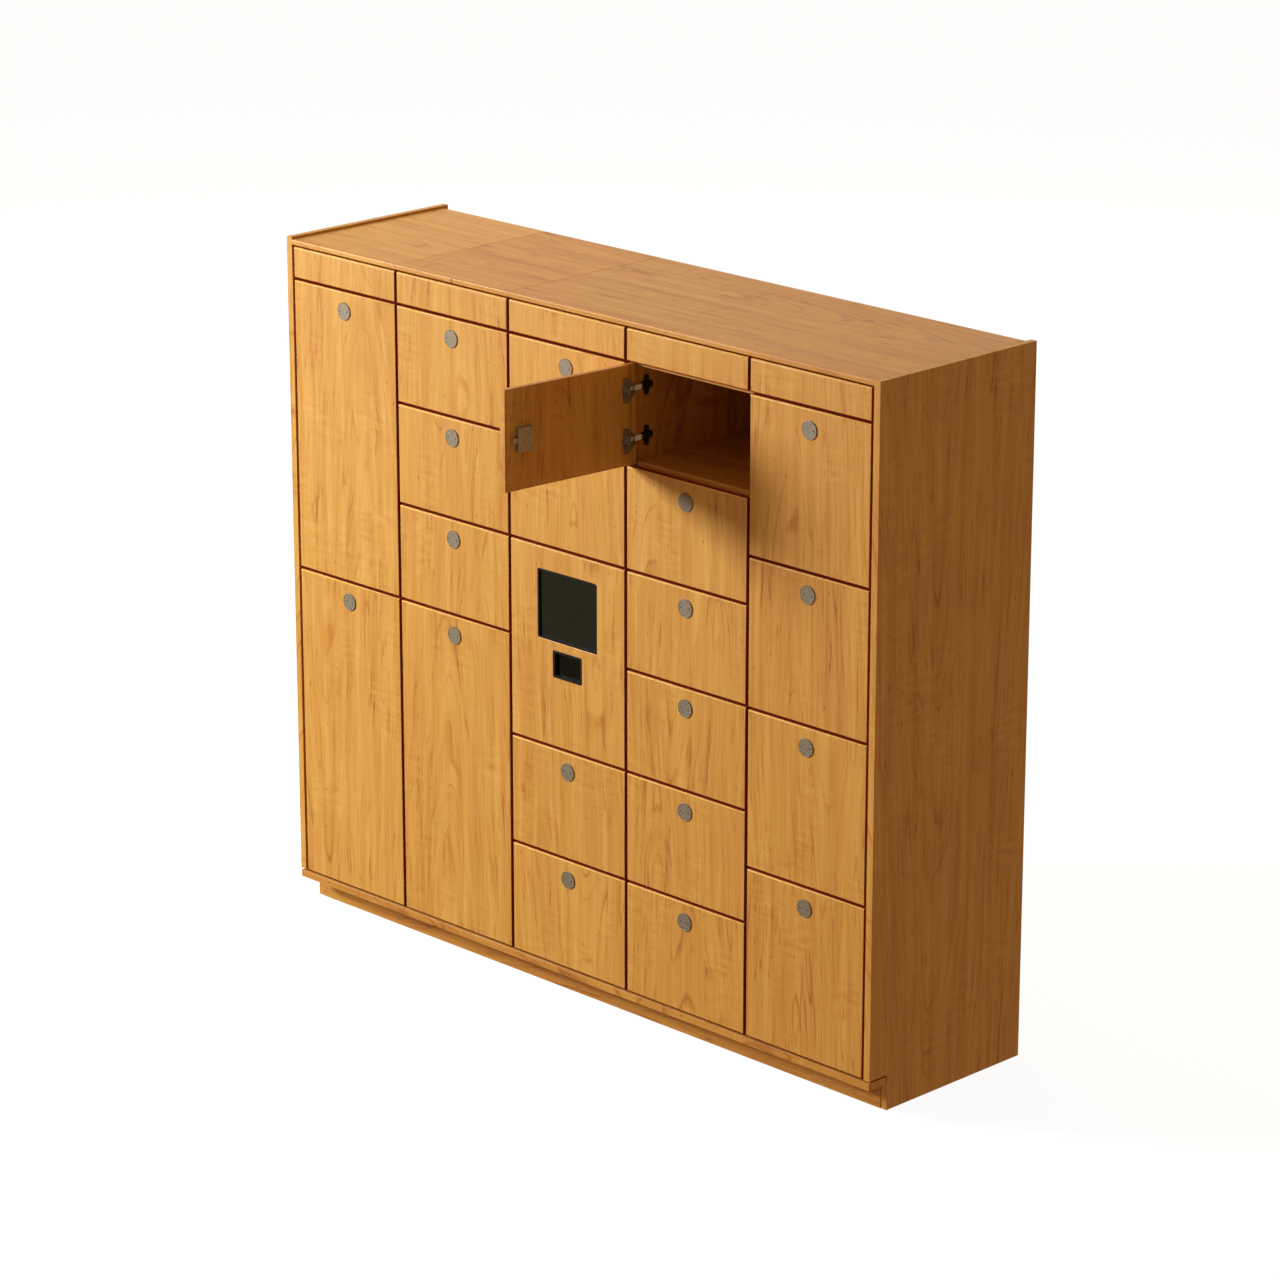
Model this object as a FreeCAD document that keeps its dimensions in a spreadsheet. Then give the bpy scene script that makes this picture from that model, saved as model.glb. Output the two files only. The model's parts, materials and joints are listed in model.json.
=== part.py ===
"""Self-service locker bank: five columns of veneered doors around one touch-screen panel.

Frame: +X to the right as the user faces the doors, +Y from the doors to the back, +Z up.
The origin is the centre of the footprint, on the floor. All sizes are in millimetres.
"""
import FreeCAD, Part
import Sketcher
import os
from collections import namedtuple

# ---------------------------------------------------------------- driving dimensions

DIMENSIONS = (
    ("depth", 540, "side panels, front to back"),
    ("top_height", 1800, "floor to the upper face of the top boards"),
    ("left_rise", 6, "left side panel stands this far above the top boards"),
    ("board", 19, "side panels, partitions, shelves, doors and bottom board"),
    ("top_thickness", 14, "top boards"),
    ("top_setback", 18, "top boards and back panel stop this far short of the rear edge"),
    ("top_seam", 1, "gap between neighbouring top boards"),
    ("back_thickness", 12, "back panel"),
    ("column_pitch", 408, "width of an inner column, gap centre to gap centre"),
    ("end_column", 388, "width of the first and last columns, gap centre to gap centre"),
    ("column_gap", 10, "gap between two doors side by side"),
    ("end_gap", 8, "gap between an end door and its side panel"),
    ("row_gap", 5, "gap between two doors one above the other"),
    ("door_clearance", 3, "doors to the partitions behind them"),
    ("level_bevel", 3, "upper and lower front edges of the doors and fascia panels"),
    ("upright_bevel", 1, "side front edges of the doors and fascia panels"),
    ("top_chamfer", 2, "front edges of the top boards"),
    ("top_line", 1784.5, "centre of the gap above the fascia panels"),
    ("fascia_line", 1698.5, "centre of the gap below the fascia panels"),
    ("sill_line", 87.5, "centre of the gap below the lowest doors"),
    ("row_1", 254, "small compartments, from the top down; the sixth takes the rest"),
    ("row_2", 263, ""),
    ("row_3", 252, ""),
    ("row_4", 264, ""),
    ("row_5", 285, ""),
    ("bay_1", 396, "fifth column, from the top down; the fourth takes the rest"),
    ("bay_2", 375, ""),
    ("bay_3", 403, ""),
    ("plinth_height", 67, "floor to the bottom board"),
    ("kick_setback", 60, "front plane to the kick board"),
    ("notch_play", 2, "toe notch of the side panel, behind the bottom board's ears"),
    ("ear_inset", 1.5, "bottom board's ears stop short of the outer faces"),
    ("foot_radius", 25, "levelling foot, floor disc"),
    ("foot_disc", 8, "levelling foot, thickness of the floor disc"),
    ("stem_radius", 8, "levelling foot, threaded stem"),
    ("foot_x", 850, "outer levelling feet, from the centre"),
    ("foot_y", 165, "outer levelling feet, from the centre"),
    ("pivot_inset", 6, "hinge axis, from the hinge edge of the door"),
    ("open_angle", 95, "opening of the door that stands open"),
    ("hinge_end", 62, "hinge centre, from the top and bottom edges of the door"),
    ("pin_radius", 2, "hinge pin"),
    ("pin_play", 0.05, "radial clearance of the hinge pin"),
    ("knuckle_radius", 4, "hinge arm, around the pin"),
    ("arm_half", 6, "hinge arm, half its height"),
    ("arm_side", 1, "hinge arm, from the axis to its nearer face"),
    ("arm_thickness", 4, "hinge arm"),
    ("arm_reach", 68, "hinge arm, from the axis to its rear end"),
    ("plate_start", 32, "mounting plate, from the axis to its front edge"),
    ("plate_half", 25, "mounting plate, half its height"),
    ("plate_web", 10, "mounting plate, half the height of its wide part"),
    ("cup_radius", 13, "hinge cup"),
    ("cup_depth", 9, "hinge cup, into the door"),
    ("cup_inset", 31, "hinge cup, from the hinge edge"),
    ("bore_play", 0.1, "hinge cup in its bore"),
    ("flange_width", 20, "hinge cup's flange"),
    ("flange_half", 31, "hinge cup's flange, half its height"),
    ("flange_thickness", 1.5, "hinge cup's flange"),
    ("ear_thickness", 2, "hinge cup's two ears"),
    ("ear_gap", 7, "hinge cup's ears, half the space between them"),
    ("slot_half", 10, "slot for the arm in the door, half its height"),
    ("slot_skin", 4, "wood left in front of that slot"),
    ("disc_radius", 23, "door disc"),
    ("disc_thickness", 2.5, "door disc"),
    ("disc_drop", 50, "door disc centre, from the top edge"),
    ("dimple_radius", 2, "two dimples in the door disc"),
    ("dimple_offset", 13, "dimples, from the disc's centre"),
    ("dimple_depth", 1, "dimples"),
    ("lock_width", 44, "lock case"),
    ("lock_height", 58, "lock case"),
    ("lock_thickness", 11, "lock case"),
    ("lock_inset", 32, "lock case, from the free edge"),
    ("bolt_thickness", 5, "lock bolt"),
    ("bolt_height", 12, "lock bolt"),
    ("bolt_length", 41, "lock bolt"),
    ("bolt_nose", 13, "lock bolt, standing out of its case when drawn back"),
    ("bolt_offset", 5, "lock bolt, from the inner face of the door"),
    ("bolt_play", 0.3, "lock bolt in its case"),
    ("strike_thickness", 1.5, "strike plate on a partition"),
    ("strike_block", 12.5, "strike block on the right side panel"),
    ("strike_depth", 22, "strike plate, front to back"),
    ("strike_half", 22, "strike plate, half its height"),
    ("strike_play", 0.5, "lock bolt in the strike"),
    ("strike_pocket", 12, "pocket in the partition behind the strike"),
    ("screen_width", 210, "touch screen opening in the control panel"),
    ("screen_height", 179, ""),
    ("screen_centre", 1032, "touch screen, height above the floor"),
    ("screen_recess", 5, "touch screen glass, behind the front face"),
    ("screen_rim", 4.5, "touch screen bezel"),
    ("reader_width", 103, "reader window opening in the control panel"),
    ("reader_height", 71, ""),
    ("reader_centre", 885, "reader window, height above the floor"),
    ("reader_recess", 9, "reader window, behind the front face"),
    ("reader_rim", 6, "reader bezel"),
    ("window_radius", 5, "rounded corners of both openings"),
    ("glass_radius", 2, "rounded corners of the screen glass and reader window"),
    ("bezel_play", 0.5, "bezels in their openings, and behind the front face"),
    ("glass_thickness", 3, "screen glass and reader window"),
    ("housing_width", 250, "electronics housing behind the control panel"),
    ("housing_depth", 43, ""),
    ("housing_margin", 20, "housing, beyond the screen and the reader"),
    ("housing_wall", 1.5, ""),
    ("gland_radius", 10, "cable gland, body through the back panel"),
    ("gland_flange", 16, "cable gland, flange radius"),
    ("gland_length", 5, "cable gland, flange thickness"),
    ("gland_bore", 5, "cable gland, hole radius"),
    ("gland_height", 130, "cable gland, above the floor"),
)

doc = FreeCAD.newDocument("locker_bank")
sheet = doc.addObject("Spreadsheet::Sheet", "dims")
for line, (alias, value, note) in enumerate(DIMENSIONS, start=1):
    sheet.set(f"A{line}", note)
    sheet.set(f"B{line}", str(value))
    sheet.setAlias(f"B{line}", alias)
doc.recompute()

SUBPARTS = []          # every exported sub-part, in the order in which it is built
FRONT = "(-dims.depth / 2)"
ALONG_Y = FreeCAD.Rotation(FreeCAD.Vector(1, 0, 0), -90)

# ---------------------------------------------------------------- small makers


def bind(thing, **expressions):
    """Ties properties to the sheet; a double underscore in a key stands for a dot."""
    for key, expression in expressions.items():
        thing.setExpression(key.replace("__", "."), expression)


def block(x, y, z):
    """A box between three pairs of expressions."""
    thing = doc.addObject("Part::Box", "block")
    bind(
        thing,
        Length=f"({x[1]}) - ({x[0]})",
        Width=f"({y[1]}) - ({y[0]})",
        Height=f"({z[1]}) - ({z[0]})",
        Placement__Base__x=x[0],
        Placement__Base__y=y[0],
        Placement__Base__z=z[0],
    )
    return thing


def rod(radius, length, start, turn=None):
    """A cylinder along Z, or turned, that starts at a point given as three expressions."""
    thing = doc.addObject("Part::Cylinder", "rod")
    if turn:
        thing.Placement = FreeCAD.Placement(FreeCAD.Vector(), turn)
    bind(
        thing,
        Radius=radius,
        Height=length,
        Placement__Base__x=start[0],
        Placement__Base__y=start[1],
        Placement__Base__z=start[2],
    )
    return thing


def cut(base, *tools):
    """The base less one or more tools."""
    thing = doc.addObject("Part::Cut", "cut")
    thing.Base = base
    thing.Tool = tools[0] if len(tools) == 1 else group(tools)
    return thing


def fuse(*pieces):
    """One solid from pieces that meet."""
    thing = doc.addObject("Part::MultiFuse", "fuse")
    thing.Shapes = list(pieces)
    thing.Refine = True
    return thing


def group(pieces):
    """Separate solids kept together in one object."""
    thing = doc.addObject("Part::Compound", "group")
    thing.Links = list(pieces)
    return thing


def subpart(label, thing):
    """Names a finished sub-part; its label is its file name."""
    thing.Label = label
    SUBPARTS.append(thing)
    return thing


def origin_plane(body, role):
    """One of a body's own origin planes."""
    return next(item for item in body.Origin.OriginFeatures if item.Role == role)


def profile(body, role, corners):
    """A closed polygon on an origin plane, each corner a pair of expressions, "0" on an axis."""
    sketch = body.newObject("Sketcher::SketchObject", "profile")
    sketch.AttachmentSupport = [(origin_plane(body, role), "")]
    sketch.MapMode = "FlatFace"
    rough = [(evaluate(x), evaluate(y)) for x, y in corners]
    for index, start in enumerate(rough):
        end = rough[(index + 1) % len(rough)]
        sketch.addGeometry(Part.LineSegment(FreeCAD.Vector(*start, 0), FreeCAD.Vector(*end, 0)), False)
    for index, (x, y) in enumerate(corners):
        before = (index - 1) % len(corners)
        sketch.addConstraint(Sketcher.Constraint("Coincident", before, 2, index, 1))
        for kind, axis, expression in (("DistanceX", -2, x), ("DistanceY", -1, y)):
            if expression == "0":
                sketch.addConstraint(Sketcher.Constraint("PointOnObject", index, 1, axis))
                continue
            number = sketch.addConstraint(
                Sketcher.Constraint(kind, -1, 1, index, 1, evaluate(expression))
            )
            sketch.setExpression(f"Constraints[{number}]", expression)
    return sketch


def evaluate(expression):
    """The present value of an expression of the sheet."""
    return float(sheet.evalExpression(expression))


def pad(body, sketch, length, backwards=False):
    """A pad of a sketch."""
    feature = body.newObject("PartDesign::Pad", "pad")
    feature.Profile = sketch
    feature.Reversed = backwards
    bind(feature, Length=length)
    return feature

# ---------------------------------------------------------------- lines that divide the front

COLUMN_LINES = (
    "(-1.5 * dims.column_pitch - dims.end_column)",
    "(-1.5 * dims.column_pitch)",
    "(-0.5 * dims.column_pitch)",
    "(0.5 * dims.column_pitch)",
    "(1.5 * dims.column_pitch)",
    "(1.5 * dims.column_pitch + dims.end_column)",
)
LAST = len(COLUMN_LINES) - 2
INNER_LEFT = f"({COLUMN_LINES[0]} - dims.end_gap / 2)"
INNER_RIGHT = f"({COLUMN_LINES[-1]} + dims.end_gap / 2)"


def levels(word, count):
    """Heights of the gaps of one column, from the fascia line down to the sill line."""
    steps = ["dims.fascia_line"]
    for number in range(1, count):
        steps.append(f"{steps[-1]} - dims.{word}_{number}")
    return [f"({step})" for step in steps] + ["dims.sill_line"]


ROWS = levels("row", 6)
BAYS = levels("bay", 4)

# Each column's gap heights, from the top down.
COLUMN_LEVELS = (
    [ROWS[0], ROWS[3], ROWS[6]],
    [ROWS[0], ROWS[1], ROWS[2], ROWS[3], ROWS[6]],
    [ROWS[0], ROWS[2], ROWS[4], ROWS[5], ROWS[6]],
    ROWS,
    BAYS,
)
CONTROL = (2, 1)       # column and place of the control panel, counted from 0
OPEN_DOOR = (3, 0)     # column and place of the door that stands open
TALL_DOOR = 700        # a door taller than this has a third hinge


def left_wall(column):
    """Right face of the wall on a column's left side."""
    return INNER_LEFT if column == 0 else f"({COLUMN_LINES[column]} + dims.board / 2)"


def right_wall(column):
    """Left face of the wall on a column's right side."""
    return INNER_RIGHT if column == LAST else f"({COLUMN_LINES[column + 1]} - dims.board / 2)"


def door_edges(column):
    """Left and right edges of the doors of a column."""
    left = "dims.end_gap / 2" if column == 0 else "dims.column_gap / 2"
    right = "dims.end_gap / 2" if column == LAST else "dims.column_gap / 2"
    return f"({COLUMN_LINES[column]} + {left})", f"({COLUMN_LINES[column + 1]} - {right})"


Door = namedtuple("Door", "name column left right bottom top width height hinges angle")


def describe_door(column, index):
    """Everything that a door's pieces are placed by, as expressions."""
    left, right = door_edges(column)
    top = f"({COLUMN_LEVELS[column][index]} - dims.row_gap / 2)"
    bottom = f"({COLUMN_LEVELS[column][index + 1]} + dims.row_gap / 2)"
    height = f"({top} - {bottom})"
    hinges = ["dims.hinge_end", f"({height} - dims.hinge_end)"]
    if evaluate(height) > TALL_DOOR:
        hinges.insert(1, f"({height} / 2)")
    after_control = column == CONTROL[0] and index > CONTROL[1]
    number = index if after_control else index + 1
    name = "control" if (column, index) == CONTROL else f"door_{column + 1}_{number}"
    angle = "dims.open_angle" if (column, index) == OPEN_DOOR else "0"
    return Door(
        name, column, left, right, bottom, top, f"({right} - {left})", height, hinges, angle
    )


DOORS = [
    describe_door(column, index)
    for column, heights in enumerate(COLUMN_LEVELS)
    for index in range(len(heights) - 1)
]

# ---------------------------------------------------------------- carcass

BEHIND_DOORS = f"({FRONT} + dims.board + dims.door_clearance)"
BACK_FACE = "(dims.depth / 2 - dims.top_setback)"
BACK_FRONT = f"({BACK_FACE} - dims.back_thickness)"
SILL = "(dims.plinth_height + dims.board)"
UNDER_TOP = "(dims.top_height - dims.top_thickness)"


def side_panel(label, x, height):
    """A full-height side panel with a toe notch at its lower front corner."""
    body = doc.addObject("PartDesign::Body", label)
    notch_depth = "dims.kick_setback + dims.notch_play"
    notch_height = f"{SILL} + dims.row_gap"
    corners = [
        ("0", notch_height),
        (notch_depth, notch_height),
        (notch_depth, "0"),
        ("dims.depth", "0"),
        ("dims.depth", height),
        ("0", height),
    ]
    pad(body, profile(body, "YZ_Plane", corners), "dims.board")
    bind(body, Placement__Base__x=x, Placement__Base__y=FRONT)
    return subpart(label, body)


side_panel("side_panel_left", f"{INNER_LEFT} - dims.board", "dims.top_height + dims.left_rise")
side_panel("side_panel_right", INNER_RIGHT, "dims.top_height")


def top_board(label, left, right):
    """A top board with a bevelled upper and lower front edge."""
    body = doc.addObject("PartDesign::Body", label)
    corners = [
        ("0", "dims.top_chamfer"),
        ("dims.top_chamfer", "0"),
        ("dims.depth - dims.top_setback", "0"),
        ("dims.depth - dims.top_setback", "dims.top_thickness"),
        ("dims.top_chamfer", "dims.top_thickness"),
        ("0", "dims.top_thickness - dims.top_chamfer"),
    ]
    pad(body, profile(body, "YZ_Plane", corners), f"({right}) - ({left})")
    bind(body, Placement__Base__x=left, Placement__Base__y=FRONT, Placement__Base__z=UNDER_TOP)
    return subpart(label, body)


HALF_SEAM = "dims.top_seam / 2"
top_board("top_board_left", INNER_LEFT, f"{COLUMN_LINES[1]} - {HALF_SEAM}")
top_board("top_board_middle", f"{COLUMN_LINES[1]} + {HALF_SEAM}", f"{COLUMN_LINES[2]} - {HALF_SEAM}")
top_board("top_board_right", f"{COLUMN_LINES[2]} + {HALF_SEAM}", INNER_RIGHT)

# The bottom board runs between the side panels, and its front ears reach out below them.
board_core = block(
    (INNER_LEFT, INNER_RIGHT), (FRONT, BACK_FRONT), ("dims.plinth_height", SILL)
)
board_ears = block(
    (
        f"{INNER_LEFT} - dims.board + dims.ear_inset",
        f"{INNER_RIGHT} + dims.board - dims.ear_inset",
    ),
    (FRONT, f"{FRONT} + dims.kick_setback"),
    ("dims.plinth_height", SILL),
)
subpart("bottom_board", fuse(board_core, board_ears))

# The kick board at the front and the plinth rail at the rear carry the bottom board.
kick_front = f"{FRONT} + dims.kick_setback"
rails = [
    block((INNER_LEFT, INNER_RIGHT), (start, end), ("0", "dims.plinth_height"))
    for start, end in (
        (kick_front, f"{kick_front} + dims.board"),
        (f"{BACK_FRONT} - dims.board", BACK_FRONT),
    )
]
subpart("plinth_rails", group(rails))

back = block((INNER_LEFT, INNER_RIGHT), (BACK_FRONT, BACK_FACE), ("dims.plinth_height", UNDER_TOP))
gland_start = ("0", BACK_FRONT, "dims.gland_height")
gland_hole = rod("dims.gland_radius", "dims.back_thickness", gland_start, ALONG_Y)
subpart("back_panel", cut(back, gland_hole))


def strike_pocket(door):
    """The pocket that a door's lock bolt enters in the partition on its right."""
    slot_front = f"{FRONT} + dims.board + dims.bolt_offset - dims.strike_play"
    middle = f"{door.bottom} + {door.height} / 2"
    half = "(dims.bolt_height / 2 + dims.strike_play)"
    wall = right_wall(door.column)
    return block(
        (wall, f"{wall} + dims.strike_pocket"),
        (slot_front, f"{slot_front} + dims.bolt_thickness + 2 * dims.strike_play"),
        (f"{middle} - {half}", f"{middle} + {half}"),
    )


def partition(column):
    """The upright on a column's right side, with a pocket for each of its doors' bolts."""
    upright = block(
        (right_wall(column), left_wall(column + 1)), (BEHIND_DOORS, BACK_FRONT), (SILL, UNDER_TOP)
    )
    return cut(upright, *[strike_pocket(door) for door in DOORS if door.column == column])


subpart("partitions", group([partition(column) for column in range(LAST)]))


def shelf(column, height):
    """A shelf between two uprights, centred on the gap between two doors."""
    return block(
        (left_wall(column), right_wall(column)),
        (BEHIND_DOORS, BACK_FRONT),
        (f"{height} - dims.board / 2", f"{height} + dims.board / 2"),
    )


subpart(
    "shelves",
    group(
        shelf(column, height)
        for column, heights in enumerate(COLUMN_LEVELS)
        for height in heights[:-1]
    ),
)

# ---------------------------------------------------------------- front panels


def front_panel(label, width, height, thickness):
    """A board lying in the front plane, its front edges bevelled; its corner is the origin."""
    body = doc.addObject("PartDesign::Body", label)
    corners = [("0", "0"), (width, "0"), (width, height), ("0", height)]
    feature = pad(body, profile(body, "XZ_Plane", corners), thickness, backwards=True)
    for length, bevel_size in (("XLength", "dims.level_bevel"), ("ZLength", "dims.upright_bevel")):
        doc.recompute()
        front_edges = [
            f"Edge{number}"
            for number, edge in enumerate(feature.Shape.Edges, start=1)
            if edge.BoundBox.YMax < 0.01 and getattr(edge.BoundBox, length) > 10
        ]
        bevel = body.newObject("PartDesign::Chamfer", "bevel")
        bevel.Base = (feature, front_edges)
        bind(bevel, Size=bevel_size)
        feature = bevel
    return body


def hollow(body, kind, sizes, place, turn=None):
    """A subtractive box or cylinder of a body, at a place given as three expressions."""
    feature = body.newObject(f"PartDesign::Subtractive{kind}", "hollow")
    if turn:
        feature.Placement = FreeCAD.Placement(FreeCAD.Vector(), turn)
    bind(feature, **sizes)
    bind(
        feature,
        Placement__Base__x=place[0],
        Placement__Base__y=place[1],
        Placement__Base__z=place[2],
    )
    return feature


def fascia(column):
    """The fixed panel above a column's doors, screwed to the uprights."""
    left, right = door_edges(column)
    bottom = "dims.fascia_line + dims.row_gap / 2"
    height = "dims.top_line - dims.fascia_line - dims.row_gap"
    panel = front_panel("fascia", f"{right} - {left}", height, "dims.board + dims.door_clearance")
    bind(panel, Placement__Base__x=left, Placement__Base__y=FRONT, Placement__Base__z=bottom)
    return panel


subpart("fascia_panels", group(fascia(column) for column in range(LAST + 1)))

# ---------------------------------------------------------------- doors and their hardware
#
# A door's pieces are built in its own frame: the origin is the lower front corner on the hinge
# side, X runs along the door, Y runs to its inner face. hang() then places them, turned about
# the hinge axis when the door stands open.


def hang(thing, door):
    """Places a piece of a door, closed or turned open about the hinge axis."""
    turn = f"{door.angle} * 1deg"
    across = f"(dims.pivot_inset * cos({turn}) + dims.board / 2 * sin({turn}))"
    along = f"(dims.pivot_inset * sin({turn}) - dims.board / 2 * cos({turn}))"
    bind(
        thing,
        Placement__Base__x=f"{door.left} + dims.pivot_inset - {across}",
        Placement__Base__y=f"{FRONT} + dims.board / 2 + {along}",
        Placement__Base__z=door.bottom,
        Placement__Rotation__Angle=f"-{door.angle}",
    )
    return thing


def door_panel(door):
    """A door board with a bore and an arm slot for each hinge."""
    body = front_panel("door_board", door.width, door.height, "dims.board")
    for height in door.hinges:
        hollow(
            body,
            "Cylinder",
            {"Radius": "dims.cup_radius + dims.bore_play", "Height": "dims.cup_depth + dims.bore_play"},
            ("dims.cup_inset", "dims.board - dims.cup_depth - dims.bore_play", height),
            ALONG_Y,
        )
        hollow(
            body,
            "Box",
            {
                "Length": "dims.cup_inset - dims.cup_radius / 2",
                "Width": "dims.board - dims.slot_skin",
                "Height": "2 * dims.slot_half",
            },
            ("0", "dims.slot_skin", f"{height} - dims.slot_half"),
        )
    return body


def hinge_cup(height):
    """The door side of a hinge: a cup with its flange, two ears and the pin between them."""
    inner = "dims.board"
    cup = rod(
        "dims.cup_radius", "dims.cup_depth", ("dims.cup_inset", f"{inner} - dims.cup_depth", height), ALONG_Y
    )
    flange = block(
        ("dims.cup_inset - dims.flange_width / 2", "dims.cup_inset + dims.flange_width / 2"),
        (inner, f"{inner} + dims.flange_thickness"),
        (f"{height} - dims.flange_half", f"{height} + dims.flange_half"),
    )
    ears = [
        block(
            (
                "dims.pivot_inset - dims.knuckle_radius",
                "dims.cup_inset - dims.cup_radius / 2 - dims.pin_play",
            ),
            (f"{inner} / 2 - dims.knuckle_radius", inner),
            (f"{height} + ({start})", f"{height} + ({start}) + dims.ear_thickness"),
        )
        for start in ("dims.ear_gap", "-dims.ear_gap - dims.ear_thickness")
    ]
    pin = rod(
        "dims.pin_radius",
        "2 * (dims.ear_gap + dims.ear_thickness)",
        ("dims.pivot_inset", f"{inner} / 2", f"{height} - dims.ear_gap - dims.ear_thickness"),
    )
    return fuse(cup, flange, *ears, pin)


def hinge_arm(door, height):
    """The carcass side of a hinge: a knuckle on the pin, an arm and a cross-shaped plate."""
    pivot_x = f"({door.left} + dims.pivot_inset)"
    pivot_y = f"({FRONT} + dims.board / 2)"
    centre = f"({door.bottom} + {height})"
    low = f"{centre} - dims.arm_half"
    knuckle = rod("dims.knuckle_radius", "2 * dims.arm_half", (pivot_x, pivot_y, low))
    near_face = f"{pivot_x} + dims.arm_side"
    arm = block(
        (near_face, f"{near_face} + dims.arm_thickness"),
        (f"{pivot_y} + dims.pin_radius", f"{pivot_y} + dims.arm_reach"),
        (low, f"{centre} + dims.arm_half"),
    )
    pin_hole = rod("dims.pin_radius + dims.pin_play", "2 * dims.arm_half", (pivot_x, pivot_y, low))
    plate = [
        block(
            (left_wall(door.column), near_face),
            (f"{pivot_y} + {start}", f"{pivot_y} + dims.arm_reach - ({end})"),
            (f"{centre} - {half}", f"{centre} + {half}"),
        )
        for start, end, half in (
            ("dims.plate_start", "0", "dims.plate_web"),
            ("dims.plate_start + dims.plate_web", "dims.plate_web", "dims.plate_half"),
        )
    ]
    return cut(fuse(knuckle, arm, *plate), pin_hole)


def door_disc(door):
    """The round metal disc on the door's face, with its two dimples."""
    middle = f"({door.width} / 2)"
    height = f"({door.height} - dims.disc_drop)"
    disc = rod("dims.disc_radius", "dims.disc_thickness", (middle, "-dims.disc_thickness", height), ALONG_Y)
    dimples = [
        rod(
            "dims.dimple_radius",
            "dims.dimple_depth",
            (f"{middle} {side} dims.dimple_offset", "-dims.disc_thickness", height),
            ALONG_Y,
        )
        for side in "+-"
    ]
    return cut(disc, *dimples)


def lock_case(door):
    """The lock's case on the inner face, with the channel that its bolt slides in."""
    right = f"({door.width} - dims.lock_inset)"
    middle = f"({door.height} / 2)"
    case = block(
        (f"{right} - dims.lock_width", right),
        ("dims.board", "dims.board + dims.lock_thickness"),
        (f"{middle} - dims.lock_height / 2", f"{middle} + dims.lock_height / 2"),
    )
    bolt_front = "dims.board + dims.bolt_offset"
    half = "(dims.bolt_height / 2 + dims.bolt_play)"
    channel = block(
        (f"{right} + dims.bolt_nose - dims.bolt_length - dims.bolt_play", right),
        (f"{bolt_front} - dims.bolt_play", f"{bolt_front} + dims.bolt_thickness + dims.bolt_play"),
        (f"{middle} - {half}", f"{middle} + {half}"),
    )
    return cut(case, channel)


def lock_bolt(door):
    """The lock's bolt, drawn back."""
    tip = f"({door.width} - dims.lock_inset + dims.bolt_nose)"
    middle = f"({door.height} / 2)"
    front = "dims.board + dims.bolt_offset"
    return block(
        (f"{tip} - dims.bolt_length", tip),
        (front, f"{front} + dims.bolt_thickness"),
        (f"{middle} - dims.bolt_height / 2", f"{middle} + dims.bolt_height / 2"),
    )


def strike(door):
    """The slotted plate, or block in the last column, that receives the bolt."""
    wall = right_wall(door.column)
    thickness = "dims.strike_block" if door.column == LAST else "dims.strike_thickness"
    middle = f"({door.bottom} + {door.height} / 2)"
    plate = block(
        (f"{wall} - {thickness}", wall),
        (BEHIND_DOORS, f"{BEHIND_DOORS} + dims.strike_depth"),
        (f"{middle} - dims.strike_half", f"{middle} + dims.strike_half"),
    )
    slot_front = f"{FRONT} + dims.board + dims.bolt_offset - dims.strike_play"
    half = "(dims.bolt_height / 2 + dims.strike_play)"
    slot = block(
        (f"{wall} - {thickness}", wall),
        (slot_front, f"{slot_front} + dims.bolt_thickness + 2 * dims.strike_play"),
        (f"{middle} - {half}", f"{middle} + {half}"),
    )
    return cut(plate, slot)


for door in DOORS:
    if door.name == "control":
        continue
    subpart(door.name + "_panel", hang(door_panel(door), door))
    cups = [hinge_cup(height) for height in door.hinges]
    if door.angle == "0":
        pieces = [door_disc(door), lock_case(door), lock_bolt(door), *cups]
        subpart(door.name + "_hardware", hang(group(pieces), door))
        continue
    subpart(door.name + "_disc", hang(group([door_disc(door)]), door))
    subpart(door.name + "_lock_case", hang(group([lock_case(door)]), door))
    subpart(door.name + "_lock_bolt", hang(group([lock_bolt(door)]), door))
    subpart(door.name + "_hinge_cups", hang(group(cups), door))

subpart("hinge_arms", group(hinge_arm(door, height) for door in DOORS for height in door.hinges))
subpart("strike_plates", group(strike(door) for door in DOORS))

# ---------------------------------------------------------------- control panel

control = next(door for door in DOORS if door.name == "control")
Window = namedtuple("Window", "width height centre recess rim")
SCREEN = Window(
    "dims.screen_width",
    "dims.screen_height",
    f"(dims.screen_centre - {control.bottom})",
    "dims.screen_recess",
    "dims.screen_rim",
)
READER = Window(
    "dims.reader_width",
    "dims.reader_height",
    f"(dims.reader_centre - {control.bottom})",
    "dims.reader_recess",
    "dims.reader_rim",
)


def window_plate(window, inset, front, back, radius):
    """A round-cornered plate as large as a window of the control panel, less an inset all round."""
    body = doc.addObject("PartDesign::Body", "plate")
    plate = body.newObject("PartDesign::AdditiveBox", "plate")
    bind(
        plate,
        Length=f"{window.width} - 2 * ({inset})",
        Width=f"({back}) - ({front})",
        Height=f"{window.height} - 2 * ({inset})",
        Placement__Base__x=f"{control.width} / 2 - {window.width} / 2 + {inset}",
        Placement__Base__y=front,
        Placement__Base__z=f"{window.centre} - {window.height} / 2 + {inset}",
    )
    doc.recompute()
    corner_edges = [
        f"Edge{number}"
        for number, edge in enumerate(plate.Shape.Edges, start=1)
        if edge.BoundBox.YLength > edge.BoundBox.XLength + edge.BoundBox.ZLength
    ]
    rounding = body.newObject("PartDesign::Fillet", "corners")
    rounding.Base = (plate, corner_edges)
    bind(rounding, Radius=radius)
    return body


def bezel(window):
    """The frame that lines a window and holds its glass."""
    front = "dims.bezel_play"
    outer = window_plate(window, front, front, "dims.board", f"dims.window_radius - {front}")
    inset = f"dims.bezel_play + {window.rim}"
    return cut(outer, window_plate(window, inset, front, "dims.board", "dims.glass_radius"))


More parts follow.
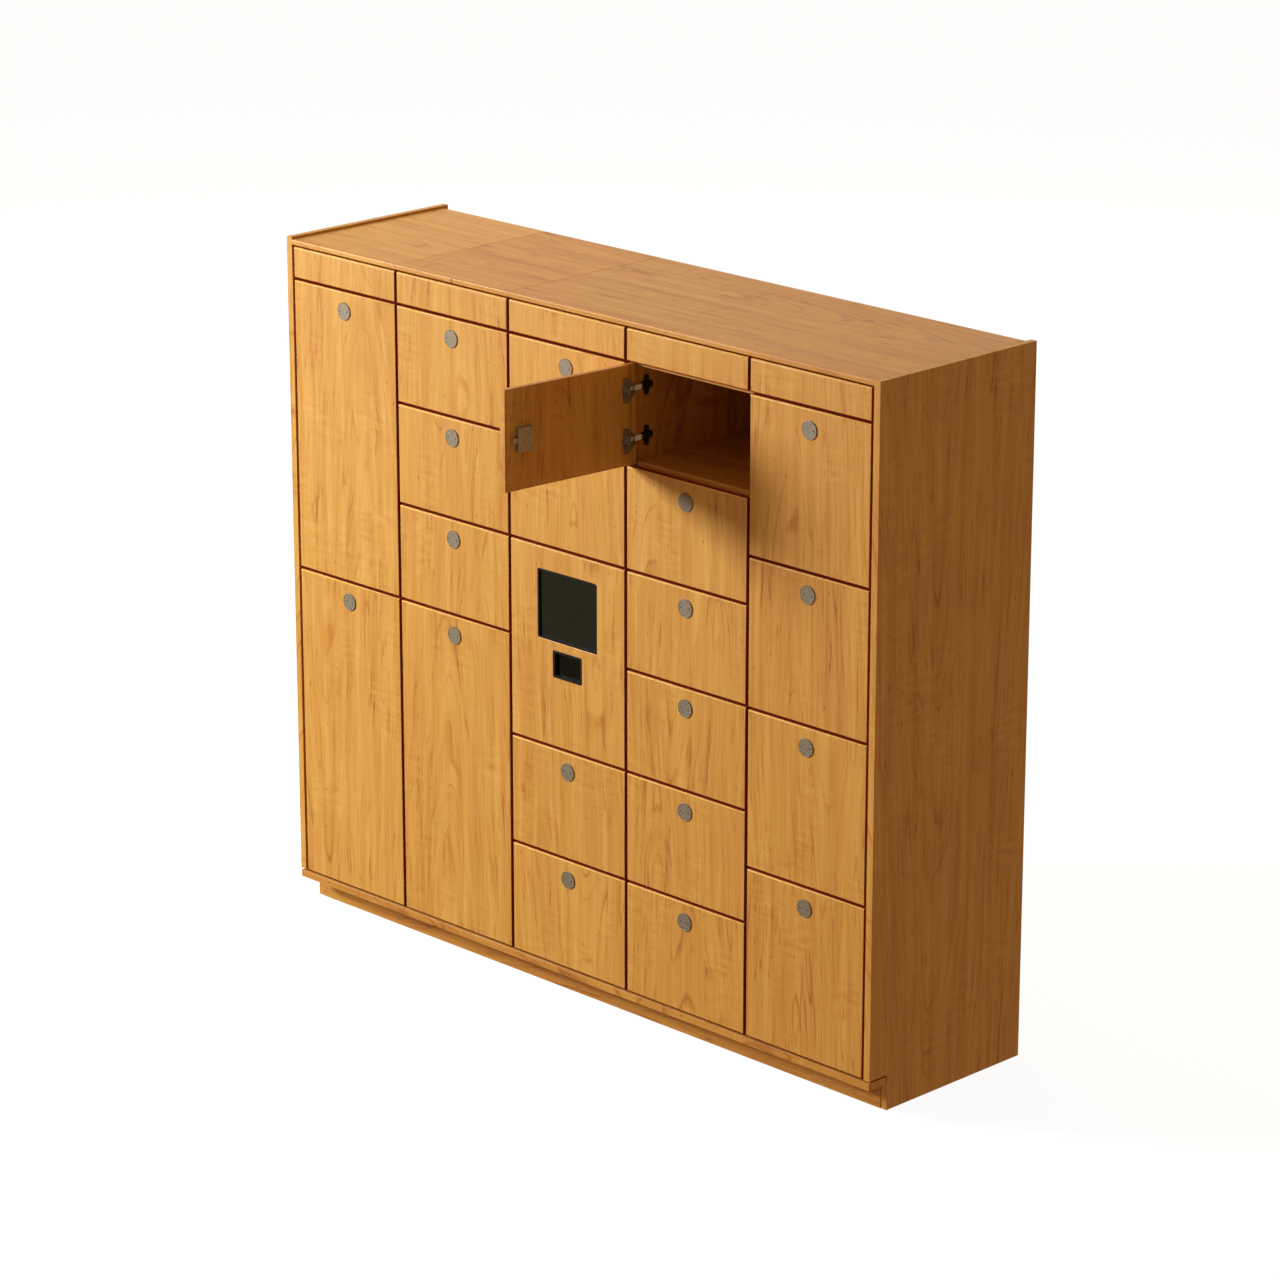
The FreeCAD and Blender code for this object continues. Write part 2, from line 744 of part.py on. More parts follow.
def glass(window):
    """A window's glass, set back inside its bezel."""
    inset = f"dims.bezel_play + {window.rim}"
    back = f"{window.recess} + dims.glass_thickness"
    return window_plate(window, inset, window.recess, back, "dims.glass_radius")


def control_panel():
    """The control panel's board, bored for its hinges and cut out for screen and reader."""
    openings = [
        window_plate(window, "0", "0", "dims.board", "dims.window_radius")
        for window in (SCREEN, READER)
    ]
    return cut(door_panel(control), *openings)


def control_housing():
    """The shell over the electronics, screwed to the inner face of the panel."""
    middle = f"({control.width} / 2)"
    low = f"{READER.centre} - {READER.height} / 2 - dims.housing_margin"
    high = f"{SCREEN.centre} + {SCREEN.height} / 2 + dims.housing_margin"
    half = "dims.housing_width / 2"
    wall = "dims.housing_wall"
    outer = block(
        (f"{middle} - {half}", f"{middle} + {half}"),
        ("dims.board", "dims.board + dims.housing_depth"),
        (low, high),
    )
    inner = block(
        (f"{middle} - {half} + {wall}", f"{middle} + {half} - {wall}"),
        ("dims.board", f"dims.board + dims.housing_depth - {wall}"),
        (f"{low} + {wall}", f"{high} - {wall}"),
    )
    return cut(outer, inner)


subpart("control_panel", hang(control_panel(), control))
subpart("control_glass", hang(group([glass(SCREEN), glass(READER)]), control))
subpart("control_bezels", hang(group([bezel(SCREEN), bezel(READER)]), control))
control_cups = [hinge_cup(height) for height in control.hinges]
control_metal = [control_housing(), lock_case(control), lock_bolt(control), *control_cups]
subpart("control_hardware", hang(group(control_metal), control))

# ---------------------------------------------------------------- feet and cable gland


def foot(x, y):
    """A levelling foot: a disc on the floor and a threaded stem up to the bottom board."""
    disc = rod("dims.foot_radius", "dims.foot_disc", (x, y, "0"))
    stem = rod("dims.stem_radius", "dims.plinth_height - dims.foot_disc", (x, y, "dims.foot_disc"))
    return fuse(disc, stem)


corners = [(f"{side} * dims.foot_x", f"{end} * dims.foot_y") for side in (-1, 1) for end in (-1, 1)]
subpart("levelling_feet", group(foot(x, y) for x, y in [*corners, ("0", "0")]))

gland = fuse(
    rod("dims.gland_radius", "dims.back_thickness", gland_start, ALONG_Y),
    rod("dims.gland_flange", "dims.gland_length", ("0", BACK_FACE, "dims.gland_height"), ALONG_Y),
)
gland_way = rod(
    "dims.gland_bore", "dims.back_thickness + dims.gland_length", gland_start, ALONG_Y
)
subpart("cable_gland", cut(gland, gland_way))

# ---------------------------------------------------------------- check and export

doc.recompute()
faults = [item.Label for item in doc.Objects if {"Invalid", "Error"} & set(item.State)]
for item in SUBPARTS:
    if item.Shape.isNull() or not item.Shape.isValid():
        faults.append(item.Label)
if faults:
    raise SystemExit("failed objects: " + ", ".join(faults))

os.makedirs("parts", exist_ok=True)
for item in SUBPARTS:
    item.Shape.exportStep(f"parts/{item.Label}.step")
    print(f"{item.Label}: {len(item.Shape.Solids)} solids, {item.Shape.Volume / 1000:.1f} cm3")
print(len(SUBPARTS), "sub-parts")
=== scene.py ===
import json
import math

import bmesh
import bpy
from mathutils import Matrix, Vector


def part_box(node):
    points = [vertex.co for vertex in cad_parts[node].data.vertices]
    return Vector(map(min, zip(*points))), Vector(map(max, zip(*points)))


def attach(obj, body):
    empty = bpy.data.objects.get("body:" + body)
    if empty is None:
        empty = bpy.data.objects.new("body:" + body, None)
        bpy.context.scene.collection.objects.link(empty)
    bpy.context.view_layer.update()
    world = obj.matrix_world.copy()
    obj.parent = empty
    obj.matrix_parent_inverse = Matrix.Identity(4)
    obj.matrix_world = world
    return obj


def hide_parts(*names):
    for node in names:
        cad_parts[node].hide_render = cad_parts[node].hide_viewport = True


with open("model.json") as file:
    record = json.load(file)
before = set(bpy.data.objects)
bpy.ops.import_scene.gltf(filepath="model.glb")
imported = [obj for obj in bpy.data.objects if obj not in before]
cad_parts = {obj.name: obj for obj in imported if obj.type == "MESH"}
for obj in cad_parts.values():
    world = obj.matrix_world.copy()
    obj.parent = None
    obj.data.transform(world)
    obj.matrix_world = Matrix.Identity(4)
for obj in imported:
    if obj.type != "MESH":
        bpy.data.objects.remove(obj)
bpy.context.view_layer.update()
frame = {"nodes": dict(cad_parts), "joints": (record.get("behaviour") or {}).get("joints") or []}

# ---------------------------------------------------------------- side panels
# Two full-height boards that carry the bank: chipboard faced with cherry veneer, its edges
# banded with the same wood and eased with a sanding block, screwed to the top and bottom boards.

MM = 0.001


def colour(hex_value):
    """An sRGB hex colour as linear red, green, blue and alpha."""
    channels = [int(hex_value[i:i + 2], 16) / 255 for i in (1, 3, 5)]
    return (*(c / 12.92 if c <= 0.04045 else ((c + 0.055) / 1.055) ** 2.4 for c in channels), 1)


def add(tree, kind, inputs=(), **settings):
    """Adds a node; each input is a socket to link or a constant."""
    node = tree.nodes.new(kind)
    for name, value in settings.items():
        setattr(node, name, value)
    for name, value in dict(inputs).items():
        if isinstance(value, bpy.types.NodeSocket):
            tree.links.new(value, node.inputs[name])
        else:
            node.inputs[name].default_value = value
    return node


# Lacquered cherry, plain sliced. In the grain's own frame X runs across the leaf, Y into it and
# Z along it. Growth rings lie round a pith that leans a little, so the slice cuts them in long
# nested arches. Soft tonal streaks, gum flecks and a faint cross figure lie over them. The real
# fibres are under a millimetre wide, too fine to show, so they are drawn about 3 mm wide.
cherry = bpy.data.node_groups.new("cherry_figure", "ShaderNodeTree")
for name, direction, kind in (
    ("Grain", "INPUT", "Vector"),
    ("Tone", "INPUT", "Float"),
    ("Color", "OUTPUT", "Color"),
    ("Roughness", "OUTPUT", "Float"),
    ("Height", "OUTPUT", "Float"),
):
    cherry.interface.new_socket(name, in_out=direction, socket_type="NodeSocket" + kind)
leaf = add(cherry, "NodeGroupInput")
soft = {}
for name, across, along, detail in (
    # feature sizes in metres, across and along the grain
    ("bends", 0.16, 0.55, 2),
    ("streaks", 0.021, 0.8, 3),
    ("fibres", 0.0031, 0.16, 4),
    ("pores", 0.0034, 0.03, 1),
    ("line places", 0.07, 0.22, 1),
    ("bars", 0.05, 0.013, 1),
    ("patches", 0.11, 0.17, 1),
    ("heartwood", 0.06, 0.4, 2),
):
    scaled = add(
        cherry,
        "ShaderNodeVectorMath",
        {0: leaf.outputs["Grain"], 1: (1 / across, 1 / across, 1 / along)},
        operation="MULTIPLY",
    )
    soft[name] = add(
        cherry, "ShaderNodeTexNoise", {"Vector": scaled.outputs[0], "Scale": 1, "Detail": detail}
    )

# The leaf bends slowly, up to about 12 mm either way.
sway = add(
    cherry,
    "ShaderNodeVectorMath",
    {0: soft["bends"].outputs["Color"], 1: (0.05, 0.05, 0), 2: (-0.025, -0.025, 0)},
    operation="MULTIPLY_ADD",
)
bent = add(
    cherry, "ShaderNodeVectorMath", {0: leaf.outputs["Grain"], 1: sway.outputs[0]}, operation="ADD"
)
parts = add(cherry, "ShaderNodeSeparateXYZ", {0: bent.outputs[0]})
level = add(cherry, "ShaderNodeVectorMath", {0: bent.outputs[0], 1: (1, 1, 0)}, operation="MULTIPLY")
radius = add(cherry, "ShaderNodeVectorMath", {0: level.outputs[0]}, operation="LENGTH")
PITH_LEAN = 0.055             # how far the pith moves off, for each metre along
ring = add(
    cherry,
    "ShaderNodeMath",
    {0: parts.outputs["Z"], 1: PITH_LEAN, 2: radius.outputs["Value"]},
    operation="MULTIPLY_ADD",
)
ring_place = add(
    cherry, "ShaderNodeCombineXYZ", {0: ring.outputs[0], 1: parts.outputs["X"], 2: parts.outputs["Z"]}
)
rings = {}
for name, spacing, fade, detail in (("bands", 0.010, 0.5, 2), ("edges", 0.013, 0.35, 1)):
    place = add(
        cherry,
        "ShaderNodeVectorMath",
        {0: ring_place.outputs[0], 1: (1 / spacing, 1 / fade, 1 / fade)},
        operation="MULTIPLY",
    )
    rings[name] = add(
        cherry, "ShaderNodeTexNoise", {"Vector": place.outputs[0], "Scale": 1, "Detail": detail}
    ).outputs[0]

# A thin dark line at a ring's edge, showing on some stretches of it.
from_edge = add(cherry, "ShaderNodeMath", {0: rings["edges"], 1: 0.5}, operation="SUBTRACT")
from_edge = add(cherry, "ShaderNodeMath", {0: from_edge.outputs[0]}, operation="ABSOLUTE")
line = add(
    cherry, "ShaderNodeMapRange", {"Value": from_edge.outputs[0], "From Min": 0.035, "From Max": 0.0}
)
line_shown = add(
    cherry,
    "ShaderNodeMapRange",
    {"Value": soft["line places"].outputs[0], "From Min": 0.38, "From Max": 0.58},
)
ring_lines = add(
    cherry, "ShaderNodeMath", {0: line.outputs[0], 1: line_shown.outputs[0]}, operation="MULTIPLY"
).outputs[0]
short_pores = add(
    cherry, "ShaderNodeMapRange", {"Value": soft["pores"].outputs[0], "From Min": 0.66, "From Max": 0.76}
).outputs[0]

# The cross figure: short bars across the grain, about 12 mm high, in patches.
bars = add(cherry, "ShaderNodeMath", {0: soft["bars"].outputs[0], 1: 0.5}, operation="SUBTRACT")
patches = add(
    cherry,
    "ShaderNodeMapRange",
    {"Value": soft["patches"].outputs[0], "From Min": 0.46, "From Max": 0.68},
)
cross_figure = add(
    cherry, "ShaderNodeMath", {0: bars.outputs[0], 1: patches.outputs[0]}, operation="MULTIPLY"
).outputs[0]

# Gum flecks, about 3 by 9 mm, one to a cell of 55 by 160 mm and missing from most of them.
fleck_place = add(cherry, "ShaderNodeCombineXYZ", {0: parts.outputs["X"], 1: parts.outputs["Z"]})
fleck_cells = add(
    cherry,
    "ShaderNodeVectorMath",
    {0: fleck_place.outputs[0], 1: (1 / 0.055, 1 / 0.16, 0)},
    operation="MULTIPLY",
)
fleck = add(
    cherry,
    "ShaderNodeTexVoronoi",
    {"Vector": fleck_cells.outputs[0], "Scale": 1, "Randomness": 1},
    voronoi_dimensions="2D",
)
fleck_core = add(
    cherry, "ShaderNodeMapRange", {"Value": fleck.outputs["Distance"], "From Min": 0.034, "From Max": 0.016}
)
fleck_pick = add(cherry, "ShaderNodeSeparateColor", {0: fleck.outputs["Color"]})
fleck_kept = add(cherry, "ShaderNodeMath", {0: fleck_pick.outputs[0], 1: 0.62}, operation="GREATER_THAN")
flecks = add(
    cherry, "ShaderNodeMath", {0: fleck_core.outputs[0], 1: fleck_kept.outputs[0]}, operation="MULTIPLY"
).outputs[0]

shade = leaf.outputs["Tone"]
for pattern, gain, middle in (
    (soft["streaks"].outputs[0], 0.55, 0.5),
    (rings["bands"], 0.40, 0.5),
    (soft["fibres"].outputs[0], 0.42, 0.5),
    (ring_lines, -0.30, 0.0),
    (short_pores, -0.12, 0.0),
    (cross_figure, 0.45, 0.0),
    (flecks, -0.45, 0.0),
):
    lifted = add(
        cherry, "ShaderNodeMath", {0: pattern, 1: gain, 2: -gain * middle}, operation="MULTIPLY_ADD"
    )
    shade = add(cherry, "ShaderNodeMath", {0: shade, 1: lifted.outputs[0]}, operation="ADD").outputs[0]
light_and_dark = add(cherry, "ShaderNodeValToRGB", {0: shade})
stops = light_and_dark.color_ramp.elements
stops[0].position, stops[0].color = 0.0, colour("#8A4A1E")
stops[1].position, stops[1].color = 1.0, colour("#E6B663")
for position, hex_value in ((0.28, "#B5722C"), (0.55, "#CB903E"), (0.78, "#D8A250")):
    stops.new(position).color = colour(hex_value)
# Rosier heartwood drifts in and out over 60 to 400 mm.
rosy = add(
    cherry,
    "ShaderNodeMapRange",
    {"Value": soft["heartwood"].outputs[0], "From Min": 0.48, "From Max": 0.75, "To Max": 0.3},
)
tinted = add(
    cherry,
    "ShaderNodeMix",
    {0: rosy.outputs[0], 6: light_and_dark.outputs[0], 7: colour("#C47A3C")},
    data_type="RGBA",
)
sheen = add(
    cherry,
    "ShaderNodeMapRange",
    {"Value": soft["fibres"].outputs[0], "From Min": 0.3, "From Max": 0.7, "To Min": 0.36, "To Max": 0.46},
)
grooves = add(
    cherry,
    "ShaderNodeMath",
    {0: ring_lines, 1: -0.5, 2: soft["fibres"].outputs[0]},
    operation="MULTIPLY_ADD",
)
add(
    cherry,
    "NodeGroupOutput",
    {"Color": tinted.outputs[2], "Roughness": sheen.outputs[0], "Height": grooves.outputs[0]},
)

# Turns an object's axes into the leaf's: grain upright or lying, on each way a board can face.
UPRIGHT_FRONT = (0, 0, 0)
UPRIGHT_SIDE = (0, 0, -90)
LYING_FRONT = (0, -90, 0)
LYING_TOP = (-90, -90, 0)


def new_material(name, constants):
    """A material with its node tree and its surface, on which the constants are set."""
    material = bpy.data.materials.new(name)
    material.use_nodes = True
    surface = material.node_tree.nodes["Principled BSDF"]
    for socket, value in constants.items():
        surface.inputs[socket].default_value = value
    return material, material.node_tree, surface


def veneer(name, turn, centre, tone=0.62, pith=0.075, along=0.0, flip=1):
    """Lacquered cherry: centre is the middle of the arches, pith its depth behind the face."""
    material, tree, surface = new_material("lacquered_cherry_veneer_" + name, {"IOR": 1.5})
    rotation = Matrix.Rotation(math.radians(turn[2]), 4, "Z")
    rotation = rotation @ Matrix.Rotation(math.radians(turn[1]), 4, "Y")
    rotation = rotation @ Matrix.Rotation(math.radians(turn[0]), 4, "X")
    middle = rotation @ Vector(centre)
    place = add(tree, "ShaderNodeTexCoord")
    grain = add(
        tree,
        "ShaderNodeMapping",
        {
            "Vector": place.outputs["Object"],
            "Rotation": [math.radians(angle) for angle in turn],
            "Location": (-middle.x, pith - middle.y, along - middle.z),
        },
    )
    grain = add(
        tree, "ShaderNodeVectorMath", {0: grain.outputs[0], 1: (1, 1, flip)}, operation="MULTIPLY"
    )
    figure = add(tree, "ShaderNodeGroup", node_tree=cherry)
    tree.links.new(grain.outputs[0], figure.inputs["Grain"])
    figure.inputs["Tone"].default_value = tone
    relief = add(
        tree,
        "ShaderNodeBump",
        {"Height": figure.outputs["Height"], "Strength": 0.2, "Distance": 0.06 * MM},
    )
    tree.links.new(figure.outputs["Color"], surface.inputs["Base Color"])
    tree.links.new(figure.outputs["Roughness"], surface.inputs["Roughness"])
    tree.links.new(relief.outputs[0], surface.inputs["Normal"])
    return material


def finish(name, shape, materials, body, *nodes, slot, smooth=35):
    """Turns a bmesh into a piece that rides on a body and stands for CAD nodes."""
    mesh = bpy.data.meshes.new(name)
    shape.to_mesh(mesh)
    shape.free()
    for material in materials:
        mesh.materials.append(material)
    mesh.shade_smooth()
    mesh.set_sharp_from_angle(angle=math.radians(smooth))
    piece = bpy.data.objects.new(name, mesh)
    bpy.context.scene.collection.objects.link(piece)
    piece.modifiers.new("normals", "WEIGHTED_NORMAL").keep_sharp = True
    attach(piece, body)
    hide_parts(*nodes)


LONG_EDGE = 40 * MM           # shorter edges, as of slots and bores, stay sharp
UPRIGHT_RISE = 20 * MM        # an edge that rises more than this is an upright one


def board(
    name,
    node,
    materials,
    body="root",
    ease=0.8 * MM,
    level_ease=None,
    keep=None,
    facing=None,
    slot="cherry_veneer",
):
    """A CAD board, its long edges eased; faces in the gaps take the second material, a painted shade on the
    doors' bands, and the other bevels take the third, a painted highlight.

    Facing is the way its front looks, and keep picks the part of the board that is wanted.
    """
    shape = bmesh.new()
    shape.from_mesh(frame["nodes"][node].data)
    bmesh.ops.remove_doubles(shape, verts=shape.verts, dist=0.01 * MM)
    bmesh.ops.dissolve_limit(shape, angle_limit=math.radians(1), verts=shape.verts, edges=shape.edges)
    if keep:
        outside = [vert for vert in shape.verts if not keep(vert.co)]
        bmesh.ops.delete(shape, geom=outside, context="VERTS")
    for face in shape.faces:
        if facing:
            across = abs(face.normal.dot(facing))
            # Edge faces, and bevels that face down, lie in the gaps: they take the second material, which
            # paints their shade. The bevels that face up or sideways take the third, which paints a
            # highlight.
            in_gap = across < 0.1 or (across < 0.9 and face.normal.z < -0.5)
            face.material_index = 1 if in_gap else 2 if across < 0.9 else 0
    for upright in (False, True):
        long_edges = [
            edge
            for edge in shape.edges
            if edge.calc_face_angle_signed(0) > math.radians(30)
            and edge.calc_length() > LONG_EDGE
            and (abs(edge.verts[0].co.z - edge.verts[1].co.z) > UPRIGHT_RISE) == upright
        ]
        bmesh.ops.bevel(
            shape,
            geom=long_edges,
            offset=ease if upright else level_ease or ease,
            segments=3,
            profile=0.5,
            affect="EDGES",
            material=-1,
        )
    finish(name, shape, materials, body, node, slot=slot)


low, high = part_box("side_panel_left")
leaf_middle = (low.x, 0.06, 0.9)
left_leaf = veneer("left_side", UPRIGHT_SIDE, leaf_middle, along=0.4)
board("left_side_board", "side_panel_left", [left_leaf], ease=1.2 * MM)
low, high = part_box("side_panel_right")
leaf_middle = (high.x, -0.05, 0.7)
right_leaf = veneer("right_side", UPRIGHT_SIDE, leaf_middle, pith=0.06, tone=0.56, flip=-1)
board("right_side_board", "side_panel_right", [right_leaf], ease=1.2 * MM)

# ---------------------------------------------------------------- top boards
# Three thin boards laid end to end over the columns, veneered with the grain running along the
# bank. Each was cut from another leaf, so their tones differ at the seams.

for number, (place, tone) in enumerate({"left": 0.66, "middle": 0.50, "right": 0.52}.items()):
    low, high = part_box("top_board_" + place)
    leaf_middle = ((low.x + high.x) / 2, -0.08 + 0.09 * number, high.z)
    top_leaf = veneer("top_" + place, LYING_TOP, leaf_middle, tone=tone, pith=0.07, along=1.3 * number)
    board("top_board_" + place + "_veneered", "top_board_" + place, [top_leaf])

# ---------------------------------------------------------------- bottom board and plinth
# The bottom board runs out below the side panels. The kick board stands back under it, with a
# rail at the rear; all three are veneered with the grain lying along the bank.

low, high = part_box("bottom_board")
bottom_leaf = veneer("bottom", LYING_FRONT, (0, low.y, low.z), tone=0.50, pith=0.12)
board("bottom_board_veneered", "bottom_board", [bottom_leaf])
low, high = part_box("plinth_rails")
plinth_leaf = veneer("plinth", LYING_FRONT, (0, low.y, high.z), tone=0.42, pith=0.05, along=0.7)
board("kick_board_and_rail", "plinth_rails", [plinth_leaf])

# ---------------------------------------------------------------- partitions and shelves
# The uprights between the columns and the shelves between them, veneered on both faces, with
# the strike pockets cut into the uprights.

# The uprights and shelves take darker tones than the doors: painted shade, so that their front edges behind
# the gaps read dark.
low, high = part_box("partitions")
upright_leaf_painted_shade = veneer("uprights", UPRIGHT_SIDE, (low.x, 0, 1.2), tone=0.34, pith=0.4)
board("uprights", "partitions", [upright_leaf_painted_shade], ease=0.6 * MM)
low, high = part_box("shelves")
shelf_leaf_painted_shade = veneer("shelves", LYING_TOP, (0, 0, high.z), tone=0.42, pith=0.3)
board("shelf_boards", "shelves", [shelf_leaf_painted_shade], ease=0.6 * MM)

# ---------------------------------------------------------------- back panel
# One sheet of veneered board let in between the side panels and screwed to the uprights and the
# bottom board, with zinc-plated pan-head screws.

low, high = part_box("back_panel")
back_leaf = veneer("back", UPRIGHT_FRONT, (0.25, high.y, 0.9), tone=0.50, pith=-0.09, along=0.2)
board("back_board", "back_panel", [back_leaf], ease=0.5 * MM)

# Zinc-plated steel, rolled and passivated: a cool grey with faint cloudy patches about 6 mm wide
# and fine scuffs. The scuffs are finer than 0.1 mm, so they are drawn 0.8 mm wide to show.
zinc, tree, surface = new_material("zinc_plated_steel", {"Metallic": 1.0})
place = add(tree, "ShaderNodeTexCoord")
clouds = add(
    tree, "ShaderNodeTexNoise", {"Vector": place.outputs["Object"], "Scale": 1 / 0.006, "Detail": 3}
)
cloudy = add(
    tree,
    "ShaderNodeMix",
    {0: clouds.outputs[0], 6: colour("#9A9082"), 7: colour("#C4BBAA")},
    data_type="RGBA",
)
scuffs = add(
    tree, "ShaderNodeTexNoise", {"Vector": place.outputs["Object"], "Scale": 1 / 0.0008, "Detail": 2}
)
dulled = add(tree, "ShaderNodeMapRange", {"Value": scuffs.outputs[0], "To Min": 0.36, "To Max": 0.54})
pitted = add(
    tree, "ShaderNodeBump", {"Height": scuffs.outputs[0], "Strength": 0.25, "Distance": 0.03 * MM}
)
tree.links.new(cloudy.outputs[2], surface.inputs["Base Color"])
tree.links.new(dulled.outputs[0], surface.inputs["Roughness"])
tree.links.new(pitted.outputs[0], surface.inputs["Normal"])


def turned(outline, steps):
    """A shape turned about Z from its outline, in mm from the axis and along it."""
    shape = bmesh.new()
    corners = [shape.verts.new((out * MM, 0, up * MM)) for out, up in outline]
    ends = corners[1:] + (corners[:1] if outline[0][0] > 0 else [])
    rim = [shape.edges.new(pair) for pair in zip(corners, ends)]
    bmesh.ops.spin(
        shape, geom=corners + rim, cent=(0, 0, 0), axis=(0, 0, 1), angle=math.tau, steps=steps, use_merge=True
    )
    bmesh.ops.remove_doubles(shape, verts=shape.verts, dist=0.001 * MM)
    bmesh.ops.recalc_face_normals(shape, faces=shape.faces)
    return shape


def put(shape, part, *places):
    """Copies a part into a shape at each place, and frees the part."""
    mesh = bpy.data.meshes.new("part")
    for place in places:
        copy = part.copy()
        copy.transform(place)
        copy.to_mesh(mesh)
        copy.free()
        shape.from_mesh(mesh)
    part.free()
    bpy.data.meshes.remove(mesh)


def screw(radius):
    """A pan-head screw's head standing on Z = 0, with a round socket, of few faces."""
    outline = ((0, 0.4), (0.4, 0.4), (0.45, 0.5), (0.8, 0.45), (1.0, 0.15), (1.0, -0.1), (0, -0.1))
    return turned([(radius * out, radius * up) for out, up in outline], 12)


def at(x, y, z, turn=0, axis="X"):
    """A place in mm, turned about an axis in degrees."""
    return Matrix.Translation(Vector((x, y, z)) * MM) @ Matrix.Rotation(math.radians(turn), 4, axis)


OUT_FRONT, OUT_BACK, OUT_RIGHT, OUT_LEFT = (90, "X"), (-90, "X"), (90, "Y"), (-90, "Y")
COLUMN_LINES = (-612, -204, 204, 612)
SCREW_ROWS = range(150, 1751, 200)
BOTTOM_ROW = 76.5             # in the middle of the bottom board
back_screws = bmesh.new()
low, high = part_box("back_panel")
screw_places = [(x, z) for x in COLUMN_LINES for z in SCREW_ROWS]
screw_places += [(x, BOTTOM_ROW) for x in range(-900, 901, 200)]
put(back_screws, screw(3.5), *[at(x, high.y / MM, z, *OUT_BACK) for x, z in screw_places])
finish("back_panel_screws", back_screws, [zinc], "root", "back_panel", slot="satin_steel")

# ---------------------------------------------------------------- doors
# Twenty slab doors, one leaf of veneer on each, banded and bevelled on the front edges. Each has
# its own figure: where the arches lie across it, how high up, which way they point, and its tone.

DOOR_FIGURES = {
    # door: (arches from the middle in mm, pith depth in mm, along the leaf in mm, way up, tone)
    "door_1_1": (70, 80, 0, 1, 0.64),
    "door_1_2": (-90, 60, 900, -1, 0.62),
    "door_2_1": (40, 70, 1700, 1, 0.62),
    "door_2_2": (-60, 90, 2600, -1, 0.60),
    "door_2_3": (95, 55, 3300, 1, 0.64),
    "door_2_4": (-30, 75, 4100, 1, 0.60),
    "door_3_1": (30, 65, 5000, 1, 0.63),
    "door_3_2": (-80, 60, 6200, 1, 0.58),
    "door_3_3": (60, 85, 7100, -1, 0.61),
    # The open door's lower tone is painted shade: its face is turned away from the light.
    "door_4_1": (40, 60, 8000, 1, 0.50),
    "door_4_2": (-110, 95, 8800, 1, 0.62),
    "door_4_3": (100, 60, 9700, 1, 0.61),
    "door_4_4": (-50, 70, 10500, -1, 0.60),
    "door_4_5": (-90, 60, 11300, 1, 0.58),
    "door_4_6": (20, 65, 12100, 1, 0.57),
    "door_5_1": (-60, 55, 13000, 1, 0.60),
    "door_5_2": (-40, 45, 13900, 1, 0.53),
    "door_5_3": (80, 70, 14800, -1, 0.59),
    "door_5_4": (-30, 60, 15700, 1, 0.56),
    "control": (110, 75, 16600, -1, 0.62),
}
OPEN_DOOR = "door_4_1"
OPENING = 95                  # degrees, as it stands at rest
HINGE_INSET = 6 * MM          # hinge axis, from the door's hinge edge
BOARD = 19 * MM
joints = {joint["child"]: joint for joint in frame["joints"]}


def body_of(door):
    """The CAD body that a door's pieces ride on."""
    return "control_door" if door == "control" else door


def seat(door):
    """From a door's own frame, with its origin at the lower front corner on the hinge side."""
    pivot = Vector(joints[body_of(door)]["pos_m"])
    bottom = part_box(door + "_panel")[0].z
    turn = -OPENING if door == OPEN_DOOR else 0
    corner = Vector((-HINGE_INSET, -BOARD / 2, bottom - pivot.z))
    swing = Matrix.Rotation(math.radians(turn), 4, "Z")
    return Matrix.Translation(pivot) @ swing @ Matrix.Translation(corner)


def size(door):
    """Width and height of a door; the open one is as wide as the one below it."""
    low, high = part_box(("door_4_2" if door == OPEN_DOOR else door) + "_panel")
    own_low, own_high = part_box(door + "_panel")
    return high.x - low.x, own_high.z - own_low.z

# Painted shade for the gaps: the doors' edge bands take a dark mahogany brown that stands in for the shade
# between the doors. Its streaks run along the band, about 2 mm wide and 40 mm long.
gap_shade_bands, tree, surface = new_material(
    "painted_gap_shade_edge_bands", {"Roughness": 0.6, "Specular IOR Level": 0.15}
)
place = add(tree, "ShaderNodeTexCoord")
along_band = add(
    tree,
    "ShaderNodeMapping",
    {"Vector": place.outputs["Object"], "Scale": (1 / 0.02, 1 / 0.002, 1 / 0.04)},
    vector_type="POINT",
)
streaked = add(
    tree, "ShaderNodeTexNoise", {"Vector": along_band.outputs[0], "Scale": 1, "Detail": 2}
)
gap_shade_colour = add(
    tree,
    "ShaderNodeMix",
    {0: streaked.outputs[0], 6: colour("#7A2A0C"), 7: colour("#9C3A14")},
    data_type="RGBA",
)
tree.links.new(gap_shade_colour.outputs[2], surface.inputs["Base Color"])

# Painted highlight: the bevels that face up or sideways take a paler veneer, which stands in for the light
# they catch.
bevel_highlight_leaf = veneer("bevels", UPRIGHT_FRONT, (0.1, 0, 0.9), tone=0.95, pith=0.2)
bevel_highlight_leaf.node_tree.nodes["Principled BSDF"].inputs["Specular IOR Level"].default_value = 0.1

leaves = {}
for door, (arches, pith, along, way, tone) in DOOR_FIGURES.items():
    width, height = size(door)
    middle = seat(door) @ Vector((width / 2 + arches * MM, 0, height / 2))
    turn = (0, 0, OPENING) if door == OPEN_DOOR else UPRIGHT_FRONT
    leaves[door] = veneer(door, turn, middle, tone=tone, pith=pith * MM, along=along * MM, flip=way)
    facing = seat(door).to_3x3() @ Vector((0, 1, 0))
    # The door that stands open keeps its own veneer on its edges, with no painted gap shade, as they stand in
    # the light.
    materials = [leaves[door], leaves[door] if door == OPEN_DOOR else gap_shade_bands, bevel_highlight_leaf]
    board(
        door + "_board",
        door + "_panel",
        materials,
        body_of(door),
        ease=0.5 * MM,
        level_ease=1.7 * MM,
        facing=facing,
    )

